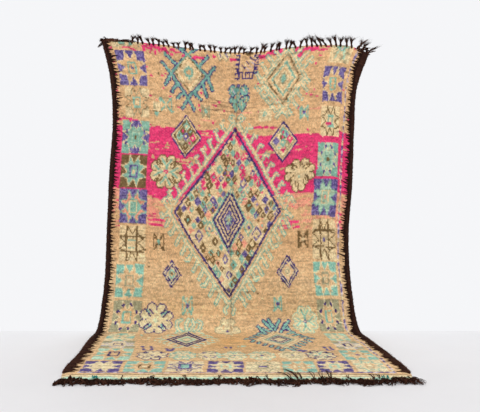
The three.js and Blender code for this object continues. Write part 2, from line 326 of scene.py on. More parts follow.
def ground():
    """The tan field, its broad pink band with ragged edges, and the blush under it."""
    wisps = grain(62, 9, 11)
    top = np.interp(
        _flat_s,
        [0, 270, 480, 690, 720, 830, 960, 1010, 1120, 1180, 1330, 1490, 1600, 1740],
        [556, 556, 552, 552, 538, 530, 545, 572, 578, 590, 596, 592, 566, 560],
    )
    bottom = np.interp(
        _flat_s,
        [0, 60, 280, 330, 440, 520, 1280, 1460, 1740],
        [975, 975, 992, 1020, 1034, 1034, 985, 985, 972],
    )
    band = (_flat_v > top + 7 * wisps) & (_flat_v < bottom + 6 * wisps)
    tie(band, PINK)
    flecks = grain(34, 9, 12)
    tie(band & (flecks > 0.86), TAN)
    for left, v, right, amount in (
        (300, 758, 620, 0.15), (490, 770, 600, -0.5), (505, 745, 590, -0.2),
        (270, 700, 600, 0.45), (280, 668, 430, 0.5), (1040, 700, 1260, 0.5),
        (1180, 815, 1300, 0.2), (1010, 560, 1120, 0.1), (1300, 650, 1450, 0.55),
        (640, 570, 720, 0.2), (120, 1000, 260, 0.6), (1380, 640, 1440, 0.3),
    ):
        tie(band & block(left, v - 13, right, v + 13) & (flecks > amount), TAN)
    below = (_flat_v >= bottom + 6 * wisps) & (_flat_v < 1225)
    fade = (1225 - _flat_v) / 250
    sides = (_flat_s < 560) | (_flat_s > 1200)
    blush = grain(80, 15, 13) + 0.55 * grain(24, 8, 14)
    tie(below & sides & (blush > 0.40 - 0.95 * fade), SALMON)
    tie(below & sides & (_flat_v > 1050) & (blush + 0.5 * flecks > 1.0), PINK)
    for left, v, right in (
        (300, 1170, 460), (310, 1205, 410), (1240, 1195, 1330), (1290, 1178, 1380),
        (1335, 1213, 1385), (1240, 1215, 1300), (300, 1150, 350), (390, 1210, 420),
    ):
        tie(block(left, v - 6, right, v + 6) & (wisps > -0.35), PINK)
    # The thin pink lines over the band's two ends.
    strokes(PINK, (13, (28, 530), (80, 512), (130, 520), (275, 546)),
            (13, (968, 513), (1060, 517), (1175, 538)))
    # The pink left in the top edge.
    for left, top_row, right, low_row in (
        (400, 20, 482, 44), (520, 50, 560, 68), (600, 50, 682, 66),
        (725, 20, 738, 48), (840, 40, 905, 54), (1030, 20, 1085, 50), (1075, 4, 1178, 32),
        (1262, 6, 1350, 32), (1690, 5, 1712, 18),
        (262, 30, 285, 62), (445, 54, 470, 70), (1650, 4, 1668, 20), (60, 24, 85, 40),
        (380, 26, 415, 44), (478, 30, 540, 46), (560, 56, 610, 72), (1090, 16, 1180, 40),
        (1180, 22, 1260, 40), (340, 44, 356, 74), (420, 44, 436, 62), (930, 44, 990, 60),
        (1250, 26, 1330, 44),
    ):
        tie(block(left, top_row, right, low_row) & (wisps > -0.72), PINK)
    tie(block(265, 4, 385, 62) & (grain(20, 9, 18) > -0.3 + np.maximum(V - 34, 0) / 26), PINK)
    tie(block(1262, 6, 1496, 74) & (grain(36, 9, 19) > -0.35 + (S - 1262) / 300), PINK)
    strokes(PINK, (9, (18, 78), (30, 60), (62, 42), (115, 36), (180, 45), (215, 58)))
    # Pink ends of yarn here and there.
    for s, v in (
        (400, 195), (375, 210), (300, 220), (380, 295), (275, 165), (285, 355), (330, 380),
        (425, 345), (480, 415), (625, 385), (630, 415), (620, 520), (725, 370), (770, 345),
        (800, 395), (720, 488), (1050, 415), (1165, 422), (1330, 415), (1390, 330), (1420, 335),
        (1460, 350), (1400, 570), (1185, 272), (1180, 360), (1285, 355), (560, 390), (575, 300),
        (645, 298), (1048, 222), (1645, 290), (1690, 470), (745, 372), (310, 60), (500, 105),
        (1425, 125), (1200, 40), (1440, 300),
    ):
        tie(oval(s, v, 9, 6.5), PINK)
    # Pink and salmon ends between the stitches down the left side.
    tie(block(22, 60, 62, 620) & (grain(18, 12, 17) > 0.42), SALMON)
    tie(block(20, 60, 50, 560) & (grain(14, 9, 18) > 0.62), PINK)
    for left, v, right in (
        (900, 413, 1000), (1412, 428, 1492), (1412, 465, 1480), (640, 475, 735),
        (1500, 1145, 1600), (900, 470, 950),
    ):
        tie(bar(9, (left, v), (right, v)) & (wisps > -0.6), SALMON)


def star_square(left, top, right, bottom, corner, wedge, star, edge, frame_yarn, heart):
    """A border square: four corner blocks and four wedges leave an eight-pointed star."""
    s, v = (left + right) / 2, (top + bottom) / 2
    half_wide, half_high = (right - left) / 2, (bottom - top) / 2
    p, q = np.abs(S - s) / half_wide, np.abs(V - v) / half_high
    inside = (p <= 1) & (q <= 1)
    corners = inside & (p > 0.36 + 0.22 * (1 - q)) & (q > 0.36 + 0.22 * (1 - p))
    wedges = inside & either(
        (far > 0.50) & (near < (far - 0.50) * 0.62) for near, far in ((p, q), (q, p))
    )
    tie(inside, star)
    tie(grown(corners | wedges) & inside, edge)
    tie(corners, corner)
    tie(wedges, wedge)
    wide, high = (right - left) * 0.155, (bottom - top) * 0.19
    tie(block(s - wide, v - high, s + wide, v + high), frame_yarn)
    tie(block(s - wide + 10, v - high + 11, s + wide - 10, v + high - 11), star)
    tie(block(s - 9, v - 13, s + 9, v + 13), heart)


def sparks(left, top, right, bottom, yarn, size):
    """Eight short marks round a square's middle, between the points of its star."""
    s, v = (left + right) / 2, (top + bottom) / 2
    for p, q in ((0.24, 0.74), (0.64, 0.33)):
        for d in (-1, 1):
            for e in (-1, 1):
                a, b = s + d * p * (right - left) / 2, v + e * q * (bottom - top) / 2
                tie(bar(size, (a, b - 6), (a + 5 * d, b + 6)), yarn)


def border():
    """The squares down both sides and along the foot, and the thin guard line outside them."""
    guard = (
        (1672, 0), (1670, 250), (1662, 500), (1652, 650), (1652, 800), (1660, 1050), (1666, 1220),
        (1656, 1400), (1660, 1700), (1653, 2000), (1660, 2300), (1652, 2600), (1655, 2862),
    )
    foot = ((88, 2858), (400, 2866), (800, 2860), (1200, 2868), (1655, 2862))
    tie(bar(17, *guard) & (grain(20, 14, 21) > 0.25), CREAM)
    for width, points, yarns in (
        (9, guard, (LILAC, PURPLE, LILAC, CREAM, PURPLE)),
        (20, foot, (PURPLE, LILAC, PURPLE, PURPLE, LILAC)),
    ):
        line = bar(width, *points)
        tie(line, np.array(yarns)[((_flat_v + _flat_s) // 26).astype(int) % len(yarns)][line])

    # Remains of motifs over the uppermost squares.
    tie(block(60, 0, 262, 42) & (V < 30 + 16 * np.sin(S / 60)), CREAM)
    tie(block(60, 8, 262, 40) & (grain(14, 9, 22) > 0.35), OLIVE)
    tie(block(105, 0, 150, 20) | block(180, 4, 202, 28), TEAL)
    tie(block(1505, 0, 1642, 118), CREAM)
    tie(block(1505, 0, 1642, 118) & (grain(16, 10, 23) > 0.45), OLIVE)
    tie(either(bar(13, (1573 + d, 28), (1573 + 2.1 * d, 92)) for d in (-15, 15)), MINT)
    tie(either(bar(11, (1573, 40), (1573 + d, 12)) for d in (-36, -14, 14, 36)), TEAL)
    strokes(LILAC, (11, (1573, 20), (1573, 36)))
    strokes(OLIVE, (9, (1528, 60), (1545, 45)), (9, (1600, 60), (1622, 46)))

    for left, top, right, bottom, *yarns in (
        (72, 62, 270, 294, PURPLE, PURPLE, TAN, CREAM, TEAL, PURPLE),
        (98, 308, 272, 502, CREAM, TAN, TAN, BROWN, TEAL, CREAM),
        (75, 528, 272, 746, TEAL, PURPLE, TEAL, CREAM, MINT, BROWN),
        (82, 752, 275, 968, BROWN, BROWN, TEAL, CREAM, PURPLE, CREAM),
        (90, 980, 290, 1203, PURPLE, PURPLE, SALMON, TEAL, CREAM, TEAL),
        (98, 1215, 290, 1452, CREAM, CREAM, CREAM, BROWN, CREAM, CREAM),
        (80, 1474, 276, 1690, TEAL, TEAL, TAN, CREAM, OLIVE, CREAM),
        (80, 1714, 276, 1946, OLIVE, OLIVE, TAN, CREAM, TEAL, TAN),
        (98, 1968, 272, 2162, CREAM, TEAL, CREAM, MINT, CREAM, TEAL),
        (100, 2170, 300, 2342, OLIVE, CREAM, CREAM, LILAC, INDIGO, CREAM),
        (100, 2358, 300, 2612, MINT, TEAL, TAN, CREAM, INDIGO, TAN),
        (85, 2640, 280, 2845, PURPLE, PURPLE, CREAM, CREAM, CREAM, CREAM),
        (1500, 145, 1642, 382, PURPLE, PURPLE, TAN, CREAM, TEAL, TAN),
        (1493, 412, 1628, 616, CREAM, CREAM, CREAM, BROWN, TEAL, CREAM),
        (1478, 654, 1626, 876, TEAL, MINT, MINT, CREAM, TEAL, BROWN),
        (1464, 894, 1636, 1140, PURPLE, PURPLE, MINT, TEAL, CREAM, SALMON),
        (1474, 1164, 1642, 1432, CREAM, CREAM, CREAM, BROWN, CREAM, PURPLE),
        (1474, 1444, 1632, 1666, TEAL, TEAL, TAN, CREAM, OLIVE, CREAM),
        (1480, 1694, 1632, 1932, OLIVE, OLIVE, TAN, CREAM, TEAL, TAN),
        (1490, 1958, 1620, 2152, MINT, TEAL, CREAM, CREAM, CREAM, TEAL),
        (1480, 2168, 1632, 2372, OLIVE, CREAM, CREAM, LILAC, INDIGO, CREAM),
        (1465, 2398, 1635, 2612, TEAL, TEAL, TAN, CREAM, CREAM, PURPLE),
        (1480, 2628, 1635, 2848, CREAM, CREAM, CREAM, TEAL, TAN, CREAM),
        (300, 2640, 500, 2846, TEAL, TEAL, TAN, CREAM, BROWN, CREAM),
        (515, 2640, 702, 2844, CREAM, CREAM, CREAM, PURPLE, PURPLE, TEAL),
        (726, 2632, 908, 2846, PURPLE, PURPLE, CREAM, CREAM, MINT, TAN),
        (920, 2640, 1097, 2844, CREAM, CREAM, CREAM, OLIVE, OLIVE, PURPLE),
        (1110, 2640, 1274, 2844, TEAL, MINT, TAN, CREAM, CREAM, MINT),
        (1293, 2636, 1458, 2846, PURPLE, PURPLE, CREAM, CREAM, MINT, TAN),
    ):
        star_square(left, top, right, bottom, *yarns)
    # Purple sparks beside the teal star's frame, and the stars' extra lines.
    sparks(75, 528, 272, 746, PURPLE, 16)
    sparks(1478, 654, 1626, 876, PURPLE, 13)
    sparks(80, 1714, 276, 1946, INDIGO, 16)
    sparks(1480, 1694, 1632, 1932, INDIGO, 15)
    strokes(
        BROWN,
        (9, (150, 1218), (150, 1450)), (9, (226, 1218), (226, 1450)),
        (9, (1532, 1166), (1532, 1430)), (9, (1588, 1166), (1588, 1430)),
        (10, (104, 1286), (200, 1292), (284, 1295)), (9, (104, 1388), (276, 1394)),
        (15, (1493, 1240), (1560, 1236), (1632, 1230)), (8, (1500, 1344), (1625, 1344)),
    )
    strokes(TEAL, (11, (168, 1316), (212, 1314)), (12, (170, 1362), (214, 1364)))
    tie(grown(lozenge(190, 1092, 60, 68)) & (chart == SALMON), TEAL)
    tie(block(98, 308, 272, 502) & (chart == BROWN) & (DOTS | (grain(20, 14, 24) > 0)), OLIVE)
    tie(block(1530, 518, 1574, 540), PINK)
    tie(block(574, 2692, 642, 2792), PURPLE)
    tie(block(586, 2708, 630, 2776), TEAL)
    for d in (-1, 1):
        strokes(
            PURPLE,
            (8, (608 + 34 * d, 2742), (608 + 68 * d, 2728)),
            (8, (608 + 34 * d, 2766), (608 + 64 * d, 2788)),
            (8, (608 + 18 * d, 2742 + 50 * d), (608 + 26 * d, 2742 + 82 * d)),
            (8, (608 - 18 * d, 2742 + 50 * d), (608 - 26 * d, 2742 + 82 * d)),
        )
    tie(block(988, 2728, 1030, 2756), PURPLE)


def hooked_lozenges():
    """The two hooked lozenges at the top."""
    lines = (
        ((640, -15), (560, 48), (440, 190), (395, 268)),
        ((478, -15), (560, 48), (690, 185), (722, 268)),
        ((385, 122), (440, 190), (550, 345), (590, 418)),
        ((735, 112), (690, 185), (550, 345), (508, 418)),
        ((470, 118), (412, 58)), ((640, 108), (690, 52)), ((480, 250), (440, 312)),
        ((520, 310), (474, 356)), ((652, 225), (684, 316)), ((602, 312), (642, 345)),
        ((455, 225), (500, 275)), ((600, 300), (655, 225)), ((540, -10), (528, 30)),
    )
    dotted = DOTS | (grain(20, 14, 35) > -0.35)
    edged(either(bar(16, *line) for line in lines), SEA, INDIGO, dotted)
    edged(lozenge(562, 178, 96, 122), CREAM, OLIVE)
    tie(lozenge(562, 175, 74, 96), TAN)
    tie(lozenge(562, 172, 64, 84), CREAM)
    for v, wide, high, yarn in ((167, 32, 38, TEAL), (167, 17, 20, TAN), (212, 8, 8, TEAL)):
        tie(oval(561, v, wide, high), yarn)
    line = lozenge(562, 178, 100, 126) & ~lozenge(562, 178, 88, 112)
    tie(line & (grain(14, 9, 31) > 0.1), BROWN)

    s, v = 1222, 212
    hooks = [
        bar(15, (1215, 420), (1175, 466)), bar(15, (1218, 420), (1252, 466)),
        bar(14, (1080, 215), (1024, 140)), bar(14, (1372, 215), (1402, 256)),
        bar(14, (1350, 150), (1376, 96), (1396, 110)),
    ]
    for t in (0.1, 0.32, 0.54, 0.76):
        for d in (-1, 1):
            a, b = s + d * 150 * t, v - 215 * (1 - t)
            hooks.append(bar(14, (a, b), (a + d * 52, b - 74)))
    for t in (0.12, 0.36, 0.6, 0.84):
        a, b = 150 * t, v + 215 * (1 - t)
        hooks.append(bar(14, (s - a, b), (s - a - 40, b + 22), (s - a - 62, b - 8)))
        hooks.append(bar(14, (s + a, b), (s + a + 42, b + 60)))
    outer = lozenge(s, v, 160, 228) & ~lozenge(s, v, 142, 203)
    dotted = DOTS | (grain(20, 14, 34) > -0.3)
    edged((outer | either(hooks)) & (V > 12), CREAM, TEAL, dotted)
    edged(lozenge(s, v, 124, 180), TAN, CREAM)
    line = lozenge(s, v, 122, 178) & ~lozenge(s, v, 108, 158)
    tie(line, BROWN)
    tie(line & (grain(18, 12, 32) > -0.15), OLIVE)
    for wide, high, yarn in (
        (98, 142, CREAM), (84, 122, TEAL), (70, 101, CREAM), (52, 78, TAN), (44, 66, CREAM),
        (30, 50, OLIVE), (20, 34, TEAL),
    ):
        tie(lozenge(s, v, wide, high), yarn)
    tie(bar(8, (1158, 226), (1192, 300)) & (grain(9, 9, 33) > 0), BROWN)


def small_lozenges():
    """Four small lozenges, the upper two filled with tiny ones."""
    for s, v, wide, high, inner, fill in (
        (
            533, 602, 112, 147, BROWN,
            ((0, -72, TEAL, CREAM), (-47, 0, TEAL, BROWN), (47, 6, PINK, CREAM),
             (0, 0, PURPLE, CREAM), (0, 62, BROWN, CREAM), (-22, -34, BROWN, PINK),
             (26, -30, BROWN, TEAL), (-24, 36, OLIVE, CREAM), (26, 40, OLIVE, PINK)),
        ),
        (
            1228, 636, 107, 140, OLIVE,
            ((0, -66, TEAL, PINK), (-50, -8, PURPLE, PURPLE), (48, -18, PINK, CREAM),
             (-4, -30, BROWN, PINK), (2, 40, PINK, CREAM), (26, 18, OLIVE, CREAM),
             (-28, 34, CREAM, TEAL), (24, -52, TEAL, PURPLE), (0, 4, TEAL, CREAM)),
        ),
    ):
        for inset, inset_high, yarn in (
            (0, 0, INDIGO), (11, 15, CREAM), (20, 27, TAN), (23, 31, inner), (34, 44, CREAM),
        ):
            tie(lozenge(s, v, wide - inset, high - inset_high), yarn)
        for ds, dv, yarn, heart in fill:
            tie(lozenge(s + ds, v + dv, 24, 33) & lozenge(s, v, wide - 26, high - 34), yarn)
            tie(lozenge(s + ds, v + dv, 9, 13), heart)
    for s, v, wide, high, *hearts in (
        (475, 1517, 66, 94, TEAL, TAN, BROWN), (1291, 1502, 78, 113, CREAM, OLIVE, CREAM),
    ):
        rings(
            s, v, wide, high, 1.45, (0, INDIGO), (10, CREAM), (19, INDIGO), (29, CREAM), (36, TAN)
        )
        edge = lozenge(s, v, wide, high) & ~lozenge(s, v, wide - 29, high - 42)
        tie(edge & (grain(9, 9, 41) > 0.8), CREAM)
        for heart_wide, heart_high, yarn in zip((26, 15, 7), (38, 22, 11), hearts):
            tie(lozenge(s, v, heart_wide, heart_high), yarn)


# The great lozenge's corners: top, left, right and bottom.
GREAT = ((882, 520), (488, 1104), (1238, 1096), (877, 1658))


def great_lozenge():
    """The great lozenge: hooks all round it, a banded edge, and a field of small lozenges."""
    top, left, right, bottom = GREAT

    def on(a, b, share, out):
        """A point on an edge, pushed outwards by that much."""
        ds, dv = b[0] - a[0], b[1] - a[1]
        aside = out / math.hypot(ds, dv)
        if dv * (a[0] - 877) <= ds * (a[1] - 1100):
            aside = -aside
        return a[0] + ds * share + aside * dv, a[1] + dv * share - aside * ds

    shapes = [
        bar(17, on(a, b, low, 36), on(a, b, high, 36))
        for a, b, low, high in (
            (top, left, -0.02, 1.0), (top, right, -0.02, 1.0),
            (left, bottom, -0.03, 1.03), (right, bottom, -0.03, 1.03),
        )
    ]
    # Hooks stand on the band, and turn back at their tips.
    for k in range(9):
        s, v = on(top, left, 0.09 + 0.106 * k, 38)
        shapes.append(bar(13, (s, v), (s - 40, v - 66), (s - 24, v - 80)))
    for k in range(8):
        s, v = on(top, right, 0.10 + 0.118 * k, 38)
        shapes.append(bar(13, (s, v), (s + 30, v - 58), (s + 50, v - 44)))
    for k in range(10):
        s, v = on(left, bottom, 0.02 + 0.1 * k, 38)
        tip = ((s - 30, v + 60), (s - 48, v + 56)) if k % 3 == 1 else ((s - 34, v + 70),)
        shapes.append(bar(15, (s, v), *tip))
    for k in range(11):
        s, v = on(right, bottom, 0.01 + 0.09 * k, 38)
        tip = ((s + 26, v + 60), (s + 50, v + 50)) if k % 4 == 3 else ((s + 44, v + 80),)
        shapes.append(bar(15, (s, v), *tip))
    # Forks over the top point, at the two side points and under the foot.
    for d in (-1, 1):
        shapes += [
            bar(11, (884, 496), (889 + 30 * d, 458)),
            oval(889 + 34 * d, 446, 20, 22) & ~oval(889 + 34 * d, 446, 8, 10),
            bar(14, (877, 1700), (877 + 32 * d, 1735), (877 + 26 * d, 1772)),
            bar(14, (877, 1702), (877 + 36 * d, 1672)),
        ]
    for line in (
        ((456, 1098), (404, 1040), (424, 1024)), ((456, 1104), (404, 1150), (392, 1128)),
        ((440, 1010), (470, 1060)), ((1276, 1100), (1322, 1142)),
        ((1270, 1080), (1310, 1010), (1332, 1050)),
    ):
        shapes.append(bar(15, *line))
    edged(either(shapes), CREAM, TEAL, DOTS | (grain(20, 14, 51) > -0.2) | (V > 1110))
    frame_line = bar(12.5, top, left, bottom, right, top)
    gap = grown(frame_line)
    tie(gap, TAN)
    tie(gap & (V < 980), PINK)
    tie(frame_line, INDIGO)

    centre_s, centre_v = 872, 1100
    p = np.minimum((S - left[0]) / (centre_s - left[0]), (right[0] - S) / (right[0] - centre_s))
    q = np.minimum((V - top[1]) / (centre_v - top[1]), (bottom[1] - V) / (bottom[1] - centre_v))
    field = (p + q > 1) & (p > 0) & (q > 0) & ~frame_line
    tie(field, CREAM)
    tie(field & (grain(60, 60, 52) > 0.5), TAN)
    tie(field & (V < 1240) & (grain(26, 18, 54) > 0.62), SALMON)
    tie(field & (V < 1000) & (grain(22, 16, 55) > 0.66), PINK)
    ringed = (
        (738, 1196, 36, 58, TEAL, CREAM, PURPLE), (1024, 1187, 38, 60, TEAL, CREAM, PURPLE),
        (668, 1250, 30, 48, PURPLE, CREAM, OLIVE), (1082, 1232, 38, 50, PURPLE, CREAM, OLIVE),
        (1050, 1300, 30, 42, BROWN, CREAM, CREAM), (958, 1300, 24, 44, BROWN, CREAM, TAN),
        (582, 1150, 28, 38, BROWN, BROWN, TEAL), (1172, 1122, 28, 34, BROWN, CREAM, TAN),
        (1012, 1042, 30, 46, BROWN, BROWN, TEAL), (782, 1285, 24, 36, BROWN, BROWN, CREAM),
        (851, 1405, 22, 40, PURPLE, CREAM, CREAM), (912, 1440, 26, 38, TEAL, TEAL, BROWN),
        (877, 1512, 26, 36, PURPLE, CREAM, CREAM), (964, 888, 30, 40, PURPLE, CREAM, CREAM),
        (720, 905, 28, 40, BROWN, BROWN, CREAM), (851, 640, 22, 34, BROWN, BROWN, CREAM),
        (905, 700, 22, 34, PINK, PINK, OLIVE), (782, 795, 26, 36, TEAL, TEAL, CREAM),
        (954, 832, 26, 36, PINK, PINK, OLIVE), (745, 850, 26, 36, PINK, PINK, TEAL),
        (645, 1022, 24, 34, PURPLE, PURPLE, PURPLE), (1128, 1010, 24, 34, PURPLE, PURPLE, PURPLE),
        (695, 1330, 24, 40, BROWN, BROWN, CREAM), (760, 1410, 22, 36, BROWN, BROWN, TAN),
    )
    # Rows of small lozenges run level with the edges.
    random = np.random.default_rng(53)
    step_s, step_v = 49.0, 72.0
    for i in range(-9, 10):
        for j in range(-9, 10):
            s = centre_s + 2 + (i - j) * step_s / 2 + random.uniform(-3, 3)
            v = centre_v + 10 + (i + j) * step_v / 2 + random.uniform(-4, 4)
            left_out, pick, ring = random.random(3)
            crowded = any(
                abs(s - at[0]) / (at[2] + 16) + abs(v - at[1]) / (at[3] + 24) < 1 for at in ringed
            )
            if left_out < 0.07 or crowded or not (top[1] + 42 < v < bottom[1] - 40):
                continue
            upper = v < 960
            pick = 0.3 * pick + 0.7 * ((2 * i + 5 * j) % 9) / 8
            kinds = (PINK if upper else SALMON, BROWN, TEAL, PURPLE, TAN)
            shares = (0.30 if upper else 0.14, 0.44, 0.72, 0.90)
            yarn = kinds[np.searchsorted(shares, pick, "right")]
            heart = (CREAM, TAN, TEAL, PURPLE, BROWN)[int(ring * 10) % 5]
            size = 0.76 + 0.24 * random.random()
            gem = lozenge(s, v, 23 * size, 33 * size) & field
            tie(gem, yarn)
            if ring < (0.85 if yarn == BROWN else 0.5):
                tie(lozenge(s, v, 9, 14) & gem, heart if heart != yarn else CREAM)
    # Some larger ringed ones near the side points and the foot.
    for s, v, wide, high, yarn, inner, heart in ringed:
        m = lozenge(s, v, wide, high) & field
        tie(m, yarn)
        tie(lozenge(s, v, wide - 11, high - 16) & m, inner)
        tie(lozenge(s, v, 9, 14) & m, heart)
    # The lozenge in the middle, ring within ring, with a flower in it.
    s, v = 875, 1137
    tie(lozenge(s, v, 138, 236), CREAM)
    for wide, yarn in (
        (128, TEAL), (119, INDIGO), (103, CREAM), (89, INDIGO), (77, CREAM), (65, INDIGO),
        (52, CREAM), (43, PURPLE),
    ):
        tie(lozenge(s, v, wide, wide * 1.76), yarn)
    for a, b in ((15, 20), (-15, 20), (0, 34), (21, 0)):
        strokes(MINT, (13, (s - a, v - b), (s + a, v + b)))
    tie(oval(s, v, 9, 10), CREAM)
    edged(lozenge(878, 1348, 8, 18), PURPLE, CREAM)
    edged(lozenge(876, 940, 8, 14), TEAL, CREAM)


def flower(s, v, wide, high, petal, edge, veins=None, hatch=None, between=None, heart=None):
    """A rosette of petals in pairs. Veins fork into them, and hatched cuts part the pairs."""
    signs = [(d, e) for d in (-1, 1) for e in (-1, 1)]
    tips = [(a * d, b * e) for a, b in ((0.30, 0.73), (0.73, 0.30)) for d, e in signs]
    petals = [oval(s + wide * a, v + high * b, wide * 0.27, high * 0.27) for a, b in tips]
    edged(either([oval(s, v, wide * 0.62, high * 0.62), *petals]), petal, edge)
    if veins is not None:
        for a, b in tips:
            p, q = (0, math.copysign(0.32, b)) if abs(b) > abs(a) else (math.copysign(0.32, a), 0)
            fork, tip = (s + wide * p, v + high * q), (s + wide * a * 1.06, v + high * b * 1.06)
            strokes(veins, (max(wide * 0.12, 8), (s, v), fork, tip))
    for d, e in signs:
        for aside, yarn in ((-0.085, hatch), (0.085, hatch), (0.0, between)):
            if yarn is not None:
                a, b = s + wide * (0.31 * d - aside * e), v + high * (0.31 * e + aside * d)
                strokes(yarn, (9.5, (a, b), (a + wide * 0.30 * d, b + high * 0.30 * e)))
    if heart is not None:
        tie(lozenge(s, v, wide * 0.16, high * 0.16), heart)
        tie(oval(s, v, 4, 5), petal)


def flowers():
    """The rosettes, large and small."""
    flower(410, 848, 106, 106, CREAM, BROWN, veins=TEAL, hatch=BROWN, heart=PINK)
    flower(381, 1838, 108, 114, CREAM, INDIGO, hatch=INDIGO, between=TEAL)
    strokes(MINT, (7, (372, 1830), (386, 1848)), (7, (366, 1840), (378, 1856)))
    flower(1390, 1848, 76, 104, CREAM, MINT, veins=TEAL, heart=PURPLE)
    # A plain rosette with streaked petals.
    flower(1358, 848, 104, 84, CREAM, BROWN, hatch=BROWN)
    edged(either([oval(1340, 940, 26, 34), oval(1378, 944, 22, 28)]), CREAM, BROWN)
    tie(oval(1358, 900, 52, 40), CREAM)
    strokes(
        BROWN,
        (7, (1352, 780), (1360, 806)), (7, (1364, 776), (1370, 796)), (7, (1330, 906), (1336, 940)),
        (7, (1348, 910), (1352, 950)), (7, (1384, 896), (1392, 930)), (7, (1398, 890), (1404, 912)),
    )
    tie(oval(1358, 876, 8, 8), MINT)
    # The three-lobed one under the great lozenge.
    lobes = (
        (866, 1866, 36, 46), (818, 1908, 32, 34), (914, 1908, 34, 34), (842, 1836, 20, 26),
        (892, 1838, 20, 26), (866, 1930, 36, 26),
    )
    edged(either(oval(*lobe) for lobe in lobes), CREAM, OLIVE)
    strokes(TAN, (8, (842, 1862), (838, 1900)), (7, (820, 1906), (828, 1918)),
            (8, (890, 1862), (896, 1900)), (7, (868, 1906), (886, 1918)))
    tie(oval(866, 1914, 10, 12), PURPLE)
    # Under the comb, between the two hooked lozenges: two lobes, a stem and four leaves.
    s, v = 908, 300
    for ds, dv, wide, high in (
        (-40, -42, 27, 36), (44, -40, 29, 38), (-46, 22, 22, 18), (58, 16, 20, 22),
    ):
        edged(oval(s + ds, v + dv, wide, high), SEA, INDIGO, DOTS | (grain(20, 20, 36) > 0))
    edged(lozenge(s - 20, v + 58, 28, 50), TEAL, INDIGO, DOTS)
    edged(lozenge(s + 24, v + 56, 30, 50), TEAL, INDIGO, DOTS)
    tie(block(s - 15, v - 78, s + 15, v + 30), SEA)
    tie(oval(s, v, 80, 100) & (chart == SEA) & (grain(12, 22, 37) > 0.45), OLIVE)
    tie(block(s - 15, v - 84, s + 15, v - 74) | block(s - 8, v - 74, s + 8, v - 62), PURPLE)
    for ds, dv, lean, yarn in (
        (-46, -48, 12, CREAM), (-32, -38, 10, LILAC), (38, -50, 12, CREAM), (50, -34, 8, LILAC),
        (-16, 54, 2, OLIVE), (22, 50, -2, CREAM), (28, 66, -2, MINT), (0, -20, 0, OLIVE),
        (-8, 4, 3, MINT), (8, -44, -3, OLIVE), (-44, 20, 10, MINT), (58, 14, -6, CREAM),
    ):
        a, b = s + ds, v + dv
        strokes(yarn, (8, (a - lean / 2, b - 13), (a + lean / 2, b + 13)))
    # The row of flowers over the foot border.
    for s, wide, petal, edge, veins, hatch in (
        (418, 80, CREAM, INDIGO, None, INDIGO), (585, 68, CREAM, TEAL, TEAL, TEAL),
        (735, 64, CREAM, OLIVE, OLIVE, PURPLE), (872, 58, CREAM, MINT, TEAL, OLIVE),
        (1022, 66, CREAM, MINT, TEAL, OLIVE), (1192, 70, CREAM, CREAM, OLIVE, OLIVE),
        (1346, 74, CREAM, INDIGO, TEAL, INDIGO),
    ):
        heart = CREAM if edge == TEAL else PURPLE
        flower(s, 2508, wide, 96, petal, edge, veins, hatch, heart=heart)
        faded = grain(13, 24, 79) > (0.75 if edge == INDIGO else 0.3)
        tie(oval(s, 2508, wide, 100) & (chart != CREAM) & faded, CREAM)


